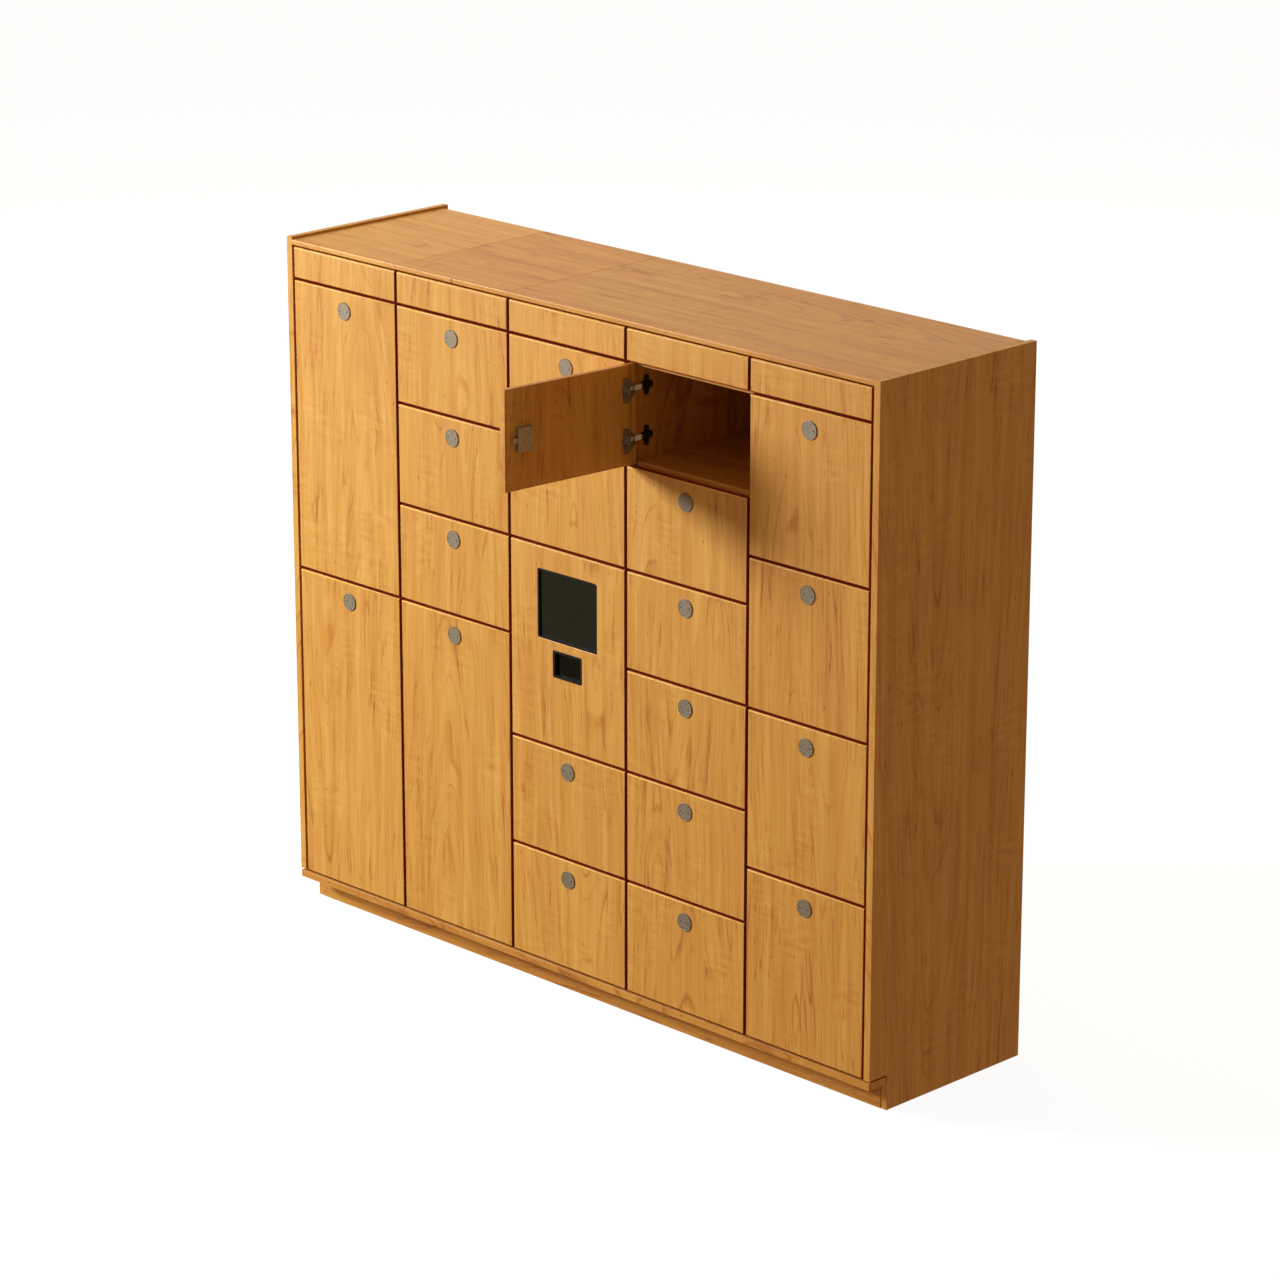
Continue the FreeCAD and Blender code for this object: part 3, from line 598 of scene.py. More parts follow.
# ---------------------------------------------------------------- fascia panels
# Five fixed fronts above the doors, each cut from the same leaf as the door below it, so that the figure runs
# on across the gap. They have the same bevels and bands as the doors, with the same painted shade on the
# edges and painted highlight on the bevels.

for column, (left, right) in enumerate(zip((-1100, *COLUMN_LINES), (*COLUMN_LINES, 1100)), start=1):
    leaf_door = "door_4_2" if column == 4 else f"door_{column}_1"
    board(
        f"fascia_board_{column}",
        "fascia_panels",
        [leaves[leaf_door], gap_shade_bands, bevel_highlight_leaf],
        ease=0.5 * MM,
        level_ease=1.7 * MM,
        keep=lambda place: left * MM < place.x < right * MM,
        facing=Vector((0, 1, 0)),
    )

# ---------------------------------------------------------------- door discs
# A round metal disc on each door but the control panel: turned stainless steel with a thin
# raised border, bead-blasted, and held by two small dark pins.

# Bead-blasted stainless steel: warm grey and matt, sparkling in grains. The blasting's dimples
# are about 0.1 mm wide, so they are drawn 2 mm wide to show.
blasted, tree, surface = new_material("bead_blasted_stainless_steel", {"Metallic": 1.0})
place = add(tree, "ShaderNodeTexCoord")
grit = add(
    tree, "ShaderNodeTexNoise", {"Vector": place.outputs["Object"], "Scale": 1 / 0.002, "Detail": 2}
)
grains = add(
    tree, "ShaderNodeMapRange", {"Value": grit.outputs[0], "From Min": 0.4, "From Max": 0.6}
)
grey = add(
    tree,
    "ShaderNodeMix",
    {0: grains.outputs[0], 6: colour("#605547"), 7: colour("#ADA08C")},
    data_type="RGBA",
)
matt = add(tree, "ShaderNodeMapRange", {"Value": grit.outputs[0], "To Min": 0.55, "To Max": 0.75})
dimpled = add(
    tree, "ShaderNodeBump", {"Height": grit.outputs[0], "Strength": 0.35, "Distance": 0.06 * MM}
)
tree.links.new(grey.outputs[2], surface.inputs["Base Color"])
tree.links.new(matt.outputs[0], surface.inputs["Roughness"])
tree.links.new(dimpled.outputs[0], surface.inputs["Normal"])

# Black electro-coated steel: half gloss, with the coat's faint orange peel, drawn 1.5 mm wide. Its near black
# is partly the coat and partly painted shade, as the cross plates stand in shadow behind the doors.
black_steel_painted_shade, tree, surface = new_material("black_electro_coated_steel_painted_shade", {"IOR": 1.5})
place = add(tree, "ShaderNodeTexCoord")
peel = add(
    tree,
    "ShaderNodeTexNoise",
    {"Vector": place.outputs["Object"], "Scale": 1 / 0.0015, "Detail": 1},
)
worn = add(
    tree,
    "ShaderNodeMix",
    {0: peel.outputs[0], 6: colour("#0E0C0A"), 7: colour("#24201B")},
    data_type="RGBA",
)
gloss = add(tree, "ShaderNodeMapRange", {"Value": peel.outputs[0], "To Min": 0.25, "To Max": 0.42})
ripple = add(
    tree, "ShaderNodeBump", {"Height": peel.outputs[0], "Strength": 0.2, "Distance": 0.05 * MM}
)
tree.links.new(worn.outputs[2], surface.inputs["Base Color"])
tree.links.new(gloss.outputs[0], surface.inputs["Roughness"])
tree.links.new(ripple.outputs[0], surface.inputs["Normal"])

DISC_DROP = 50                # its centre, below the door's top edge
PIN_OFFSET = 13
DISC = ((0, 0), (22.6, 0), (23, 0.4), (23, 2.1), (22.6, 2.5), (21.4, 2.5), (21.0, 2.1), (0, 2.1))
PIN = ((0, 1.9), (1.9, 1.9), (1.9, 2.2), (1.4, 2.4), (0, 2.45))
for door in DOOR_FIGURES:
    if door == "control":
        continue
    width, height = size(door)
    centre = (width / 2 / MM, 0, height / MM - DISC_DROP)
    disc = bmesh.new()
    put(disc, turned(DISC, 64), seat(door) @ at(*centre, *OUT_FRONT))
    pin = turned(PIN, 16)
    for face in pin.faces:
        face.material_index = 1
    pin_places = [at(centre[0] + offset, 0, centre[2], *OUT_FRONT) for offset in (-PIN_OFFSET, PIN_OFFSET)]
    put(disc, pin, *[seat(door) @ place for place in pin_places])
    node = door + ("_disc" if door == OPEN_DOOR else "_hardware")
    finish(door + "_turned_disc", disc, [blasted, black_steel_painted_shade], body_of(door), node, slot="satin_steel")

# ---------------------------------------------------------------- locks
# An electric lock on each door's inner face: a pressed case with four screws and a channel in
# its side, in which the bolt slides. The bolt's nose is slanted, so that it can slam shut.


def plate(low, high, through, corner, ease):
    """A plate between two corners in mm, rounded at its corners and eased round its rim."""
    shape = bmesh.new()
    bmesh.ops.create_cube(shape, size=MM)
    low, high = Vector(low), Vector(high)
    bmesh.ops.scale(shape, vec=high - low, verts=shape.verts)
    bmesh.ops.translate(shape, vec=(low + high) / 2 * MM, verts=shape.verts)
    corners = [
        edge
        for edge in shape.edges
        if abs((edge.verts[0].co - edge.verts[1].co)[through]) > 0.01 * MM
    ]
    bmesh.ops.bevel(
        shape, geom=corners, offset=corner * MM, segments=5, profile=0.5, affect="EDGES", material=-1
    )
    rim = [edge for edge in shape.edges if edge.calc_face_angle(0) > math.radians(60)]
    bmesh.ops.bevel(shape, geom=rim, offset=ease * MM, segments=2, profile=0.5, affect="EDGES", material=-1)
    return shape


def widest(shape, direction):
    """The largest face that looks one way."""
    looking = [face for face in shape.faces if face.normal.dot(Vector(direction)) > 0.99]
    return max(looking, key=lambda face: face.calc_area())


LOCK_INSET, LOCK_WIDTH, LOCK_HEIGHT, LOCK_DEPTH = 32, 44, 58, 11
BOLT_NOSE, BOLT_LENGTH, BOLT_FRONT, BOLT_DEPTH, BOLT_HALF, BOLT_PLAY = 13, 41, 24, 5, 6, 0.3
DOOR_BACK = BOARD / MM        # the inner face, behind the front
for door in DOOR_FIGURES:
    width, height = (side / MM for side in size(door))
    right, middle = width - LOCK_INSET, height / 2
    lock = bmesh.new()
    case = plate(
        (right - LOCK_WIDTH, DOOR_BACK + 1, middle - LOCK_HEIGHT / 2),
        (right, DOOR_BACK + LOCK_DEPTH, middle + LOCK_HEIGHT / 2),
        1,
        2,
        0.7,
    )
    cover = widest(case, (0, 1, 0))
    bmesh.ops.inset_individual(case, faces=[cover], thickness=1.6 * MM, depth=0)
    bmesh.ops.inset_individual(case, faces=[cover], thickness=0.6 * MM, depth=-0.6 * MM)
    mouth = widest(case, (1, 0, 0))
    bmesh.ops.inset_individual(case, faces=[mouth], thickness=1 * MM, depth=0)
    for vert in mouth.verts:
        back = vert.co.y > mouth.calc_center_median().y
        above = vert.co.z > middle * MM
        edge_y = BOLT_FRONT + BOLT_DEPTH + BOLT_PLAY if back else BOLT_FRONT - BOLT_PLAY
        edge_z = middle + (BOLT_HALF + BOLT_PLAY) * (1 if above else -1)
        vert.co.y, vert.co.z = edge_y * MM, edge_z * MM
    inner = bmesh.ops.extrude_discrete_faces(case, faces=[mouth])["faces"][0]
    bmesh.ops.translate(
        case, vec=((BOLT_NOSE - BOLT_LENGTH - BOLT_PLAY) * MM, 0, 0), verts=inner.verts
    )
    put(lock, case, seat(door))
    base = plate(
        (right - LOCK_WIDTH - 1.5, DOOR_BACK, middle - LOCK_HEIGHT / 2 - 1.5),
        (right + 1.5, DOOR_BACK + 1.2, middle + LOCK_HEIGHT / 2 + 1.5),
        1,
        3,
        0.3,
    )
    put(lock, base, seat(door))
    corners = [(right - LOCK_WIDTH / 2 + side * 17, middle + end * 24) for side in (-1, 1) for end in (-1, 1)]
    seats = [seat(door) @ at(x, DOOR_BACK + LOCK_DEPTH - 0.6, z, *OUT_BACK) for x, z in corners]
    put(lock, screw(2.4), *seats)
    moving = door == OPEN_DOOR
    hardware = "control_hardware" if door == "control" else door + "_hardware"
    case_node = door + "_lock_case" if moving else hardware
    finish(door + "_lock", lock, [zinc], body_of(door), case_node, slot="satin_steel")

    bolt = bmesh.new()
    bmesh.ops.create_cube(bolt, size=MM)
    bmesh.ops.scale(bolt, vec=(BOLT_LENGTH, BOLT_DEPTH, 2 * BOLT_HALF), verts=bolt.verts)
    bolt_middle = Vector((right + BOLT_NOSE - BOLT_LENGTH / 2, BOLT_FRONT + BOLT_DEPTH / 2, middle))
    bmesh.ops.translate(bolt, vec=bolt_middle * MM, verts=bolt.verts)
    nose = [
        edge
        for edge in bolt.edges
        if all(vert.co.x > bolt_middle.x * MM and vert.co.y > bolt_middle.y * MM for vert in edge.verts)
    ]
    bmesh.ops.bevel(bolt, geom=nose, offset=3.5 * MM, segments=1, profile=0.5, affect="EDGES", material=-1)
    bmesh.ops.bevel(
        bolt, geom=bolt.edges[:], offset=0.5 * MM, segments=2, profile=0.5, affect="EDGES", material=-1
    )
    bolt.transform(seat(door))
    bolt_body = "lock_bolt_4_1" if moving else body_of(door)
    bolt_node = door + "_lock_bolt" if moving else hardware
    finish(door + "_slam_bolt", bolt, [zinc], bolt_body, bolt_node, slot="satin_steel")

# ---------------------------------------------------------------- hinges on the doors
# Concealed hinges, two to a door and three on the tall ones: a pressed cup in its bore, a flange
# with two screws, gussets that spread the load, two ears, and the pin on which the door turns.

HINGE_END = 62                # hinge centre, from the door's top and bottom edges
TALL_DOOR = 700               # doors above this height have a third hinge at mid height
CUP_CENTRE, PIN_X, PIN_Y = 31, 6, 9.5
CUP = ((0, -8.9), (12.4, -8.9), (13, -8.3), (13, 0.2), (14.6, 0.2), (14.6, 1.2), (14.2, 1.6), (12.6, 1.6),
       (12.1, 1.1), (12.1, -7.6), (11.8, -8), (0, -8))
HINGE_PIN = ((0, -9.6), (2.4, -9.6), (2.8, -9.2), (2, -9), (2, 9), (2.8, 9.2), (2.4, 9.6), (0, 9.6))


def hinge_heights(door):
    """The heights of a door's hinges above its lower edge, in mm."""
    height = size(door)[1] / MM
    return [HINGE_END, height - HINGE_END] + ([height / 2] if height > TALL_DOOR else [])


# Plates are in mm from the hinge's middle on the door's lower front corner: across, back, up.
for door in DOOR_FIGURES:
    cups = bmesh.new()
    for hinge in hinge_heights(door):
        hung = seat(door) @ at(0, 0, hinge)
        put(cups, turned(CUP, 40), hung @ at(CUP_CENTRE, DOOR_BACK, 0, *OUT_BACK))
        for side in (-1, 1):
            ends = sorted((side * 11, side * 31))
            wing = plate((21, DOOR_BACK, ends[0]), (41, DOOR_BACK + 1.5, ends[1]), 1, 5, 0.3)
            put(cups, wing, hung)
            put(cups, screw(3), hung @ at(CUP_CENTRE, DOOR_BACK + 1.5, side * 24, *OUT_BACK))
            gusset = bmesh.new()
            outline = ((22, side * 8), (22, side * 25), (19, side * 25), (1.5, side * 9.5), (1.5, side * 8))
            corners = [gusset.verts.new((x * MM, (DOOR_BACK + 0.1) * MM, z * MM)) for x, z in outline]
            face = gusset.faces.new(corners)
            lifted = bmesh.ops.extrude_face_region(gusset, geom=[face])["geom"]
            lifted = [item for item in lifted if isinstance(item, bmesh.types.BMVert)]
            bmesh.ops.translate(gusset, vec=(0, 1.8 * MM, 0), verts=lifted)
            bmesh.ops.recalc_face_normals(gusset, faces=gusset.faces)
            bmesh.ops.bevel(
                gusset,
                geom=gusset.edges[:],
                offset=0.4 * MM,
                segments=2,
                profile=0.5,
                affect="EDGES",
                material=-1,
            )
            put(cups, gusset, hung)
            ends = sorted((side * 7, side * 9))
            ear = plate((2, PIN_Y - 4, ends[0]), (23, DOOR_BACK + 0.5, ends[1]), 2, 3.5, 0.3)
            put(cups, ear, hung)
        put(cups, turned(HINGE_PIN, 16), hung @ at(PIN_X, PIN_Y, 0))
    node = door + "_hinge_cups" if door == OPEN_DOOR else door + "_hardware"
    finish(door + "_hinges", cups, [zinc], body_of(door), node, slot="satin_steel")

# ---------------------------------------------------------------- hinge arms and their plates
# Each door's pin turns in a knuckle at the end of a bright zinc-plated arm, with a white damper
# sleeve on it. The arm is clipped to a black cross-shaped plate screwed to the wall.

# Bright zinc plating, glossy, with soft cloudy patches about 3 mm wide. Its colour is lightened to nearly
# white, partly the plating and partly a painted highlight, so that the arms read lit though they stand in the
# open door's shadow.
bright_zinc_painted_highlight, tree, surface = new_material("bright_zinc_plated_steel_painted_highlight", {"Metallic": 1.0})
place = add(tree, "ShaderNodeTexCoord")
clouds = add(
    tree, "ShaderNodeTexNoise", {"Vector": place.outputs["Object"], "Scale": 1 / 0.003, "Detail": 2}
)
plating = add(
    tree,
    "ShaderNodeMix",
    {0: clouds.outputs[0], 6: colour("#D2CCC0"), 7: colour("#F2EEE6")},
    data_type="RGBA",
)
shine = add(
    tree, "ShaderNodeMapRange", {"Value": clouds.outputs[0], "To Min": 0.28, "To Max": 0.42}
)
tree.links.new(plating.outputs[2], surface.inputs["Base Color"])
tree.links.new(shine.outputs[0], surface.inputs["Roughness"])

# Moulded acetal: milky white and waxy, slightly mottled over about 4 mm.
acetal, tree, surface = new_material("moulded_white_acetal", {"IOR": 1.48})
place = add(tree, "ShaderNodeTexCoord")
mottle = add(
    tree, "ShaderNodeTexNoise", {"Vector": place.outputs["Object"], "Scale": 1 / 0.004, "Detail": 2}
)
milky = add(
    tree,
    "ShaderNodeMix",
    {0: mottle.outputs[0], 6: colour("#F1EEE6"), 7: colour("#FBFAF6")},
    data_type="RGBA",
)
waxy = add(tree, "ShaderNodeMapRange", {"Value": mottle.outputs[0], "To Min": 0.3, "To Max": 0.42})
tree.links.new(milky.outputs[2], surface.inputs["Base Color"])
tree.links.new(waxy.outputs[0], surface.inputs["Roughness"])

KNUCKLE = ((2.1, -6), (3.5, -6), (4, -5.5), (4, 5.5), (3.5, 6), (2.1, 6))
WALL_GAP = 1.5                # from the pivots to the uprights; the end wall stands further off
PLATE_SCREWS, ARM_SCREWS = (-18, 18), (41, 59)
arms, sleeves, cross_plates = bmesh.new(), bmesh.new(), bmesh.new()
# Plates are in mm from the pivot: across, back and up.
for door in DOOR_FIGURES:
    pivot = Vector(joints[body_of(door)]["pos_m"]) / MM
    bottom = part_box(door + "_panel")[0].z / MM
    end_column = pivot.x < COLUMN_LINES[0]
    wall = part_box("side_panel_left")[1].x / MM - pivot.x if end_column else -WALL_GAP
    for hinge in hinge_heights(door):
        fixed = at(pivot.x, pivot.y, bottom + hinge)
        put(arms, turned(KNUCKLE, 24), fixed)
        put(arms, plate((1, 2.4, -6), (5, 34, 6), 0, 1.2, 0.5), fixed)
        put(sleeves, plate((0.4, 7, -6.6), (5.6, 29, 6.6), 1, 1.6, 0.6), fixed)
        put(cross_plates, plate((0.9, 33, -6), (5.1, 68, 6), 0, 1.5, 0.5), fixed)
        put(cross_plates, plate((wall, 32, -10), (1, 68, 10), 0, 4, 0.3), fixed)
        put(cross_plates, plate((wall, 42, -25), (1.2, 58, 25), 0, 6, 0.3), fixed)
        turn, axis = OUT_RIGHT
        screws = [fixed @ at(1.2, 50, end, turn, axis) for end in PLATE_SCREWS]
        screws += [fixed @ at(5, along, 0, turn, axis) for along in ARM_SCREWS]
        put(cross_plates, screw(3.4), *screws)
finish("hinge_arms_plated", arms, [bright_zinc_painted_highlight], "root", "hinge_arms", slot="satin_steel")
finish("hinge_damper_sleeves", sleeves, [acetal], "root", "hinge_arms", slot="satin_steel")
finish("hinge_cross_plates", cross_plates, [black_steel_painted_shade], "root", "hinge_arms", slot="satin_steel")

# ---------------------------------------------------------------- strike plates
# A slotted steel plate let into the wall opposite each lock receives the bolt; the last column
# has thicker blocks on the side panel. Each is held by two screws.

STRIKE_BLOCK, STRIKE_PLATE, STRIKE_Y, STRIKE_SCREWS = 12.5, 1.5, -236, (-16, 16)
END_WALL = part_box("side_panel_right")[0].x / MM
board("strike_plates_slotted", "strike_plates", [zinc], ease=0.3 * MM, slot="satin_steel")
strike_screws = bmesh.new()
for door in DOOR_FIGURES:
    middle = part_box(door + "_panel")[0].z / MM + size(door)[1] / MM / 2
    lines_right = [x for x in COLUMN_LINES if x > joints[body_of(door)]["pos_m"][0] / MM]
    upright_face = lines_right[0] - BOARD / MM / 2 if lines_right else END_WALL
    face = upright_face - (STRIKE_PLATE if lines_right else STRIKE_BLOCK)
    for end in STRIKE_SCREWS:
        put(strike_screws, screw(2.6), at(face, STRIKE_Y, middle + end, *OUT_LEFT))
finish("strike_screws", strike_screws, [zinc], "root", "strike_plates", slot="satin_steel")

# ---------------------------------------------------------------- control panel fittings
# The panel in the middle column holds a touch screen and a reader behind a dark window, each in
# a moulded bezel, and a sheet-steel housing with vents over the electronics at the back.

# Moulded ABS: black with a fine spark-eroded grain, too fine to show, drawn 1 mm wide.
abs_black, tree, surface = new_material("moulded_black_abs", {"IOR": 1.54, "Specular IOR Level": 0.2})
place = add(tree, "ShaderNodeTexCoord")
spark = add(
    tree, "ShaderNodeTexNoise", {"Vector": place.outputs["Object"], "Scale": 1 / 0.001, "Detail": 2}
)
moulded = add(
    tree,
    "ShaderNodeMix",
    {0: spark.outputs[0], 6: colour("#050403"), 7: colour("#0F0D0A")},
    data_type="RGBA",
)
satin = add(tree, "ShaderNodeMapRange", {"Value": spark.outputs[0], "To Min": 0.5, "To Max": 0.65})
eroded = add(
    tree, "ShaderNodeBump", {"Height": spark.outputs[0], "Strength": 0.3, "Distance": 0.04 * MM}
)
tree.links.new(moulded.outputs[2], surface.inputs["Base Color"])
tree.links.new(satin.outputs[0], surface.inputs["Roughness"])
tree.links.new(eroded.outputs[0], surface.inputs["Normal"])

board("window_bezels", "control_bezels", [abs_black], "control_door", ease=1.2 * MM, slot="black_plastic")

# Chemically hardened glass over an unlit display: dark olive grey, with faint wiped smears about
# 40 mm wide. The reader's window is the same glass over a black mask.
SPLIT_HEIGHT = 0.93           # between the screen and the reader
for name, hex_pair, above in (
    ("touch_screen", ("#171911", "#20221A"), True),
    ("reader_window", ("#020201", "#040403"), False),
):
    glass, tree, surface = new_material(
        "hardened_glass_" + name, {"IOR": 1.5, "Specular IOR Level": 0.2}
    )
    place = add(tree, "ShaderNodeTexCoord")
    smears = add(
        tree,
        "ShaderNodeTexNoise",
        {"Vector": place.outputs["Object"], "Scale": 1 / 0.04, "Detail": 3, "Distortion": 0.6},
    )
    display = add(
        tree,
        "ShaderNodeMix",
        {0: smears.outputs[0], 6: colour(hex_pair[0]), 7: colour(hex_pair[1])},
        data_type="RGBA",
    )
    wiped = add(
        tree, "ShaderNodeMapRange", {"Value": smears.outputs[0], "To Min": 0.12, "To Max": 0.26}
    )
    tree.links.new(display.outputs[2], surface.inputs["Base Color"])
    tree.links.new(wiped.outputs[0], surface.inputs["Roughness"])
    board(
        name,
        "control_glass",
        [glass],
        "control_door",
        ease=0.4 * MM,
        keep=lambda place: (place.z > SPLIT_HEIGHT) == above,
        slot="black_glass",
    )

# Powder-coated sheet steel: mid grey, with the coat's orange peel drawn 2 mm wide.
coated, tree, surface = new_material("powder_coated_grey_steel", {"IOR": 1.5})
place = add(tree, "ShaderNodeTexCoord")
peel = add(
    tree, "ShaderNodeTexNoise", {"Vector": place.outputs["Object"], "Scale": 1 / 0.002, "Detail": 2}
)
powder = add(
    tree,
    "ShaderNodeMix",
    {0: peel.outputs[0], 6: colour("#6B6A66"), 7: colour("#7E7C77")},
    data_type="RGBA",
)
soft_gloss = add(
    tree, "ShaderNodeMapRange", {"Value": peel.outputs[0], "To Min": 0.45, "To Max": 0.6}
)
pebbled = add(
    tree, "ShaderNodeBump", {"Height": peel.outputs[0], "Strength": 0.4, "Distance": 0.08 * MM}
)
tree.links.new(powder.outputs[2], surface.inputs["Base Color"])
tree.links.new(soft_gloss.outputs[0], surface.inputs["Roughness"])
tree.links.new(pebbled.outputs[0], surface.inputs["Normal"])

HOUSING_HALF, HOUSING_DEPTH, HOUSING_WALL, HOUSING_MARGIN = 125, 43, 1.5, 20
VENT_COLUMNS, VENT_ROWS = 5, 24
screen_low, screen_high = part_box("control_glass")
RIM_MARGINS = (6.5, 5)        # reader's and screen's glass, inside their openings
width, height = (side / MM for side in size("control"))
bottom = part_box("control_panel")[0].z / MM
low_z = screen_low.z / MM - RIM_MARGINS[0] - HOUSING_MARGIN - bottom
high_z = screen_high.z / MM + RIM_MARGINS[1] + HOUSING_MARGIN - bottom
housing = bmesh.new()
bmesh.ops.create_grid(housing, x_segments=VENT_COLUMNS * 2 + 1, y_segments=VENT_ROWS * 2 + 1, size=0.5)
vents = [
    face
    for face in housing.faces
    if int((face.calc_center_median().x + 0.5) * (VENT_COLUMNS * 2 + 1)) % 2 == 1
    and int((face.calc_center_median().y + 0.5) * (VENT_ROWS * 2 + 1)) % 2 == 1
    and face.calc_center_median().y > 0.15
]
bmesh.ops.delete(housing, geom=vents, context="FACES_ONLY")
bmesh.ops.scale(housing, vec=(2 * HOUSING_HALF * MM, (high_z - low_z) * MM, 1), verts=housing.verts)
rim = [edge for edge in housing.edges if edge.is_boundary]
outer = [
    edge
    for edge in rim
    if all(abs(vert.co.x) > (HOUSING_HALF - 0.1) * MM for vert in edge.verts)
    or all(abs(vert.co.y) > ((high_z - low_z) / 2 - 0.1) * MM for vert in edge.verts)
]
sides = bmesh.ops.extrude_edge_only(housing, edges=outer)["geom"]
side_verts = [item for item in sides if isinstance(item, bmesh.types.BMVert)]
bmesh.ops.translate(housing, vec=(0, 0, -HOUSING_DEPTH * MM), verts=side_verts)
bmesh.ops.recalc_face_normals(housing, faces=housing.faces)
bmesh.ops.solidify(housing, geom=housing.faces[:], thickness=HOUSING_WALL * MM)
housing.transform(
    seat("control") @ at(width / 2, DOOR_BACK + HOUSING_DEPTH, (low_z + high_z) / 2, *OUT_BACK)
)
finish("control_housing", housing, [coated], "control_door", "control_hardware", slot="satin_steel")

# ---------------------------------------------------------------- levelling feet
# Five feet under the bottom board: a rubber pad, a pressed steel disc, a lock nut and a threaded
# stem, screwed up or down to level the bank.

# Moulded rubber: black and matt, greyed by dust in patches about 8 mm wide.
rubber, tree, surface = new_material("moulded_rubber", {"IOR": 1.52})
place = add(tree, "ShaderNodeTexCoord")
dust = add(
    tree, "ShaderNodeTexNoise", {"Vector": place.outputs["Object"], "Scale": 1 / 0.008, "Detail": 4}
)
dusty = add(
    tree,
    "ShaderNodeMix",
    {0: dust.outputs[0], 6: colour("#17130F"), 7: colour("#332C25")},
    data_type="RGBA",
)
dull = add(tree, "ShaderNodeMapRange", {"Value": dust.outputs[0], "To Min": 0.65, "To Max": 0.85})
tree.links.new(dusty.outputs[2], surface.inputs["Base Color"])
tree.links.new(dull.outputs[0], surface.inputs["Roughness"])

STEM_TOP, THREAD_PITCH = 67, 2
FOOT_X, FOOT_Y = 850, 165     # the outer feet, from the middle of the bank
PAD = ((0, 0), (24, 0), (25, 1), (25, 3.2), (24.4, 4), (0, 4))
FOOT_DISC = ((0, 3.9), (24.2, 3.9), (24.2, 5), (23.4, 6), (14, 8), (9, 8.4), (0, 8.4))
LOCK_NUT = ((0, 8), (12.6, 8), (13.6, 9), (13.6, 15), (12.6, 16), (0, 16))
pads, stems = bmesh.new(), bmesh.new()
thread = [(0, 8), (7, 8)]
for turn_number in range((STEM_TOP - 10) // THREAD_PITCH):
    thread += [(8, 9 + THREAD_PITCH * turn_number), (7, 10 + THREAD_PITCH * turn_number)]
thread += [(7, STEM_TOP), (0, STEM_TOP)]
feet = [at(side * FOOT_X, end * FOOT_Y, 0) for side in (-1, 1) for end in (-1, 1)] + [at(0, 0, 0)]
put(pads, turned(PAD, 48), *feet)
put(stems, turned(FOOT_DISC, 48), *feet)
put(stems, turned(LOCK_NUT, 6), *feet)
put(stems, turned(thread, 24), *feet)
finish("foot_pads", pads, [rubber], "root", "levelling_feet", slot="black_plastic")
finish("foot_stems", stems, [zinc], "root", "levelling_feet", slot="satin_steel")

# ---------------------------------------------------------------- cable gland
# A black nylon gland in the back panel, low down, for the mains lead: a flange, a six-sided
# body and a domed nut round the bore.

GLAND_HEIGHT = 130
gland_place = at(0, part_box("cable_gland")[1].y / MM, GLAND_HEIGHT, *OUT_BACK)
GLAND = ((5, -17), (10, -17), (10, -5), (16, -5), (16, -4), (15.4, -3.2), (11, -3.2), (10.6, -1.2),
         (9, 0), (6, 0), (5, -1))
GLAND_HEX = ((5.5, -3.4), (13.2, -3.4), (13.8, -3), (13.8, -1.8), (13.2, -1.4), (5.5, -1.4))
gland = bmesh.new()
put(gland, turned(GLAND, 48), gland_place)
put(gland, turned(GLAND_HEX, 6), gland_place)
finish("cable_gland_nylon", gland, [abs_black], "root", "cable_gland", slot="black_plastic")

# ---------------------------------------------------------------- studio
# A pale floor under soft light: one softbox high on the left, a dim one overhead, a third
# behind the bank, and a warm surround. The camera looks at the front from the right.

FLOOR_RADIUS = 70
sweep = bmesh.new()
bmesh.ops.create_circle(sweep, cap_ends=True, segments=96, radius=FLOOR_RADIUS)
floor_mesh = bpy.data.meshes.new("floor")
sweep.to_mesh(floor_mesh)
sweep.free()
floor = bpy.data.objects.new("floor", floor_mesh)
bpy.context.scene.collection.objects.link(floor)
floor.visible_diffuse = floor.visible_glossy = floor.visible_shadow = False

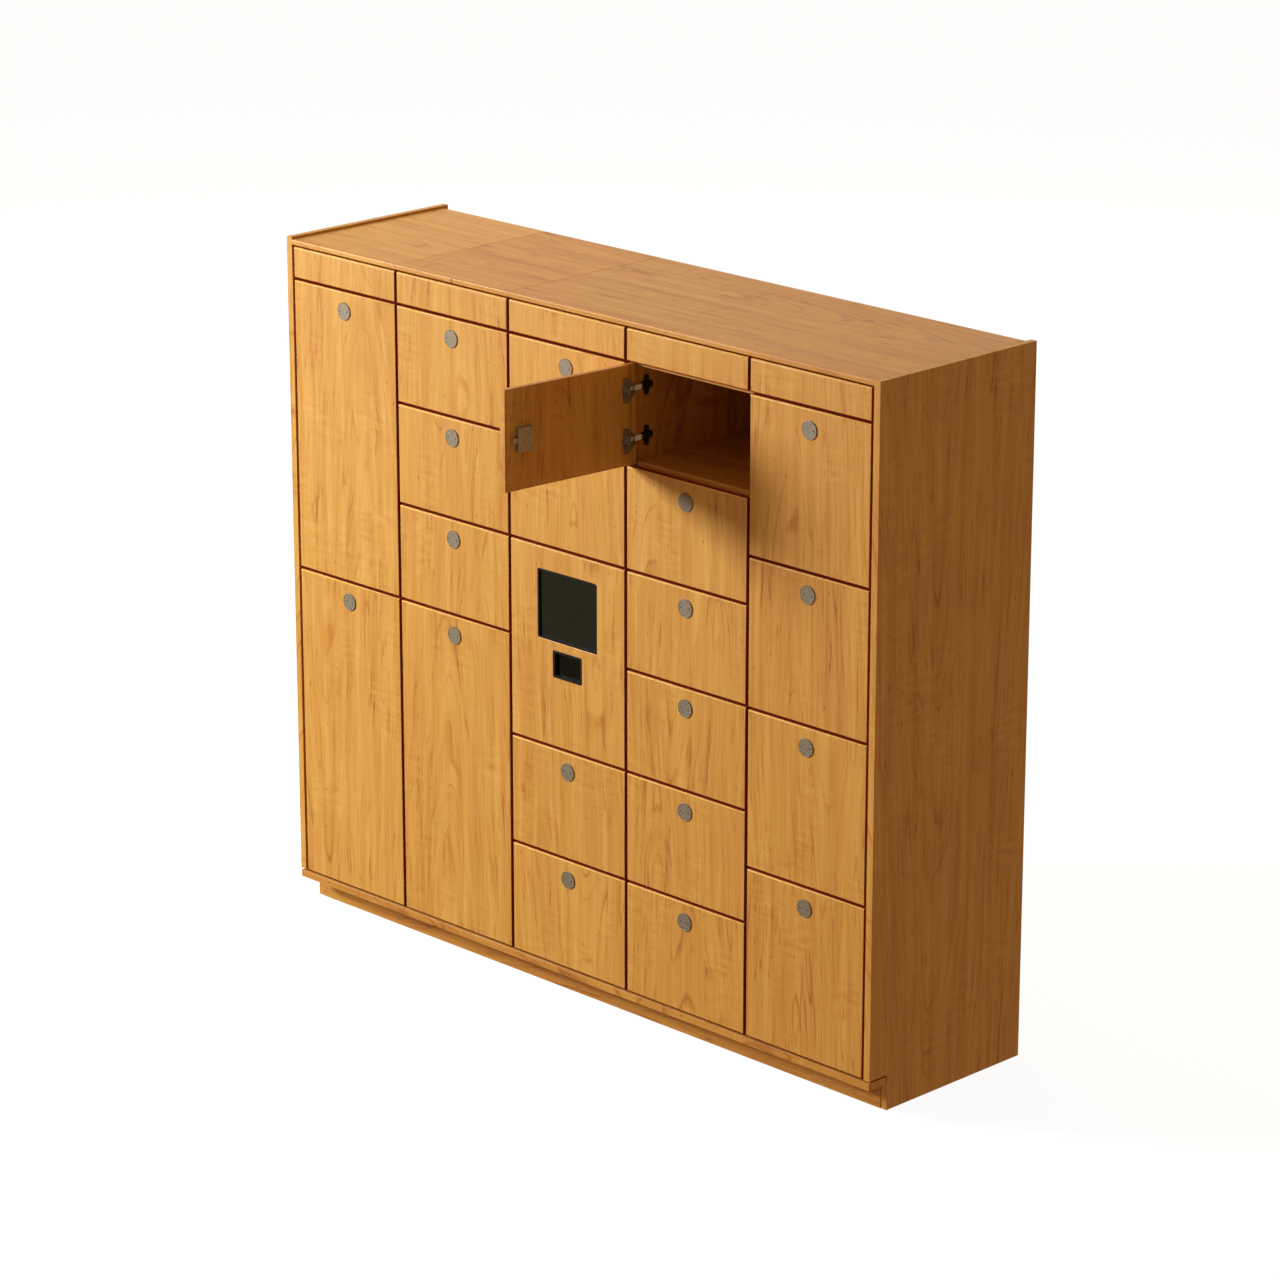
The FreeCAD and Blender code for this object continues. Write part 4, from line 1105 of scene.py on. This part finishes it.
# White background paper, matt. It glows, so that it stays white and no hard shadow lies on it.
paper, tree, surface = new_material(
    "white_paper_floor",
    {
        "Base Color": colour("#6E6E6E"),
        "Roughness": 1.0,
        "Specular IOR Level": 0.0,
        "Emission Color": (1, 1, 1, 1),
        "Emission Strength": 0.93,
    },
)
floor_mesh.materials.append(paper)

world = bpy.data.worlds.new("studio")
bpy.context.scene.world = world
world.use_nodes = True
surround = world.node_tree.nodes["Background"]
surround.inputs["Color"].default_value = (1.0, 0.72, 0.43, 1)
surround.inputs["Strength"].default_value = 0.35


def softbox(name, place, target, width, height, power, tint):
    """A rectangular area light that faces a point."""
    lamp = bpy.data.lights.new(name, "AREA")
    lamp.shape = "RECTANGLE"
    lamp.size, lamp.size_y = width, height
    lamp.energy = power
    lamp.color = tint
    holder = bpy.data.objects.new(name, lamp)
    holder.location = place
    holder.rotation_euler = (Vector(target) - Vector(place)).to_track_quat("-Z", "Y").to_euler()
    bpy.context.scene.collection.objects.link(holder)


softbox("key_softbox", (-6.0, -4.7, 3.55), (0, 0, 0.9), 2.0, 2.0, 880, (0.94, 1.0, 1.02))
softbox("overhead_softbox", (-2.6, 0.6, 6.0), (0, 0, 1.8), 3.0, 3.0, 80, (1.0, 0.88, 0.70))
softbox("rear_softbox", (-5.5, 7.5, 3.4), (0, 0, 1.5), 6.0, 4.0, 60, (1.0, 0.90, 0.75))

CAMERA_PLACE = (7.929, -7.900, 4.477)
AZIMUTH, ELEVATION = math.radians(45.17), math.radians(17.74)
camera_data = bpy.data.cameras.new("camera")
camera_data.sensor_width = 36
camera_data.lens = 132.3
camera_data.clip_end = 200
camera = bpy.data.objects.new("camera", camera_data)
level_way = Vector((math.sin(AZIMUTH), -math.cos(AZIMUTH), 0)) * math.cos(ELEVATION)
to_camera = level_way + Vector((0, 0, math.sin(ELEVATION)))
camera.location = CAMERA_PLACE
camera.rotation_euler = (-to_camera).to_track_quat("-Z", "Y").to_euler()
bpy.context.scene.collection.objects.link(camera)
bpy.context.scene.camera = camera
bpy.context.scene.view_settings.view_transform = "Standard"
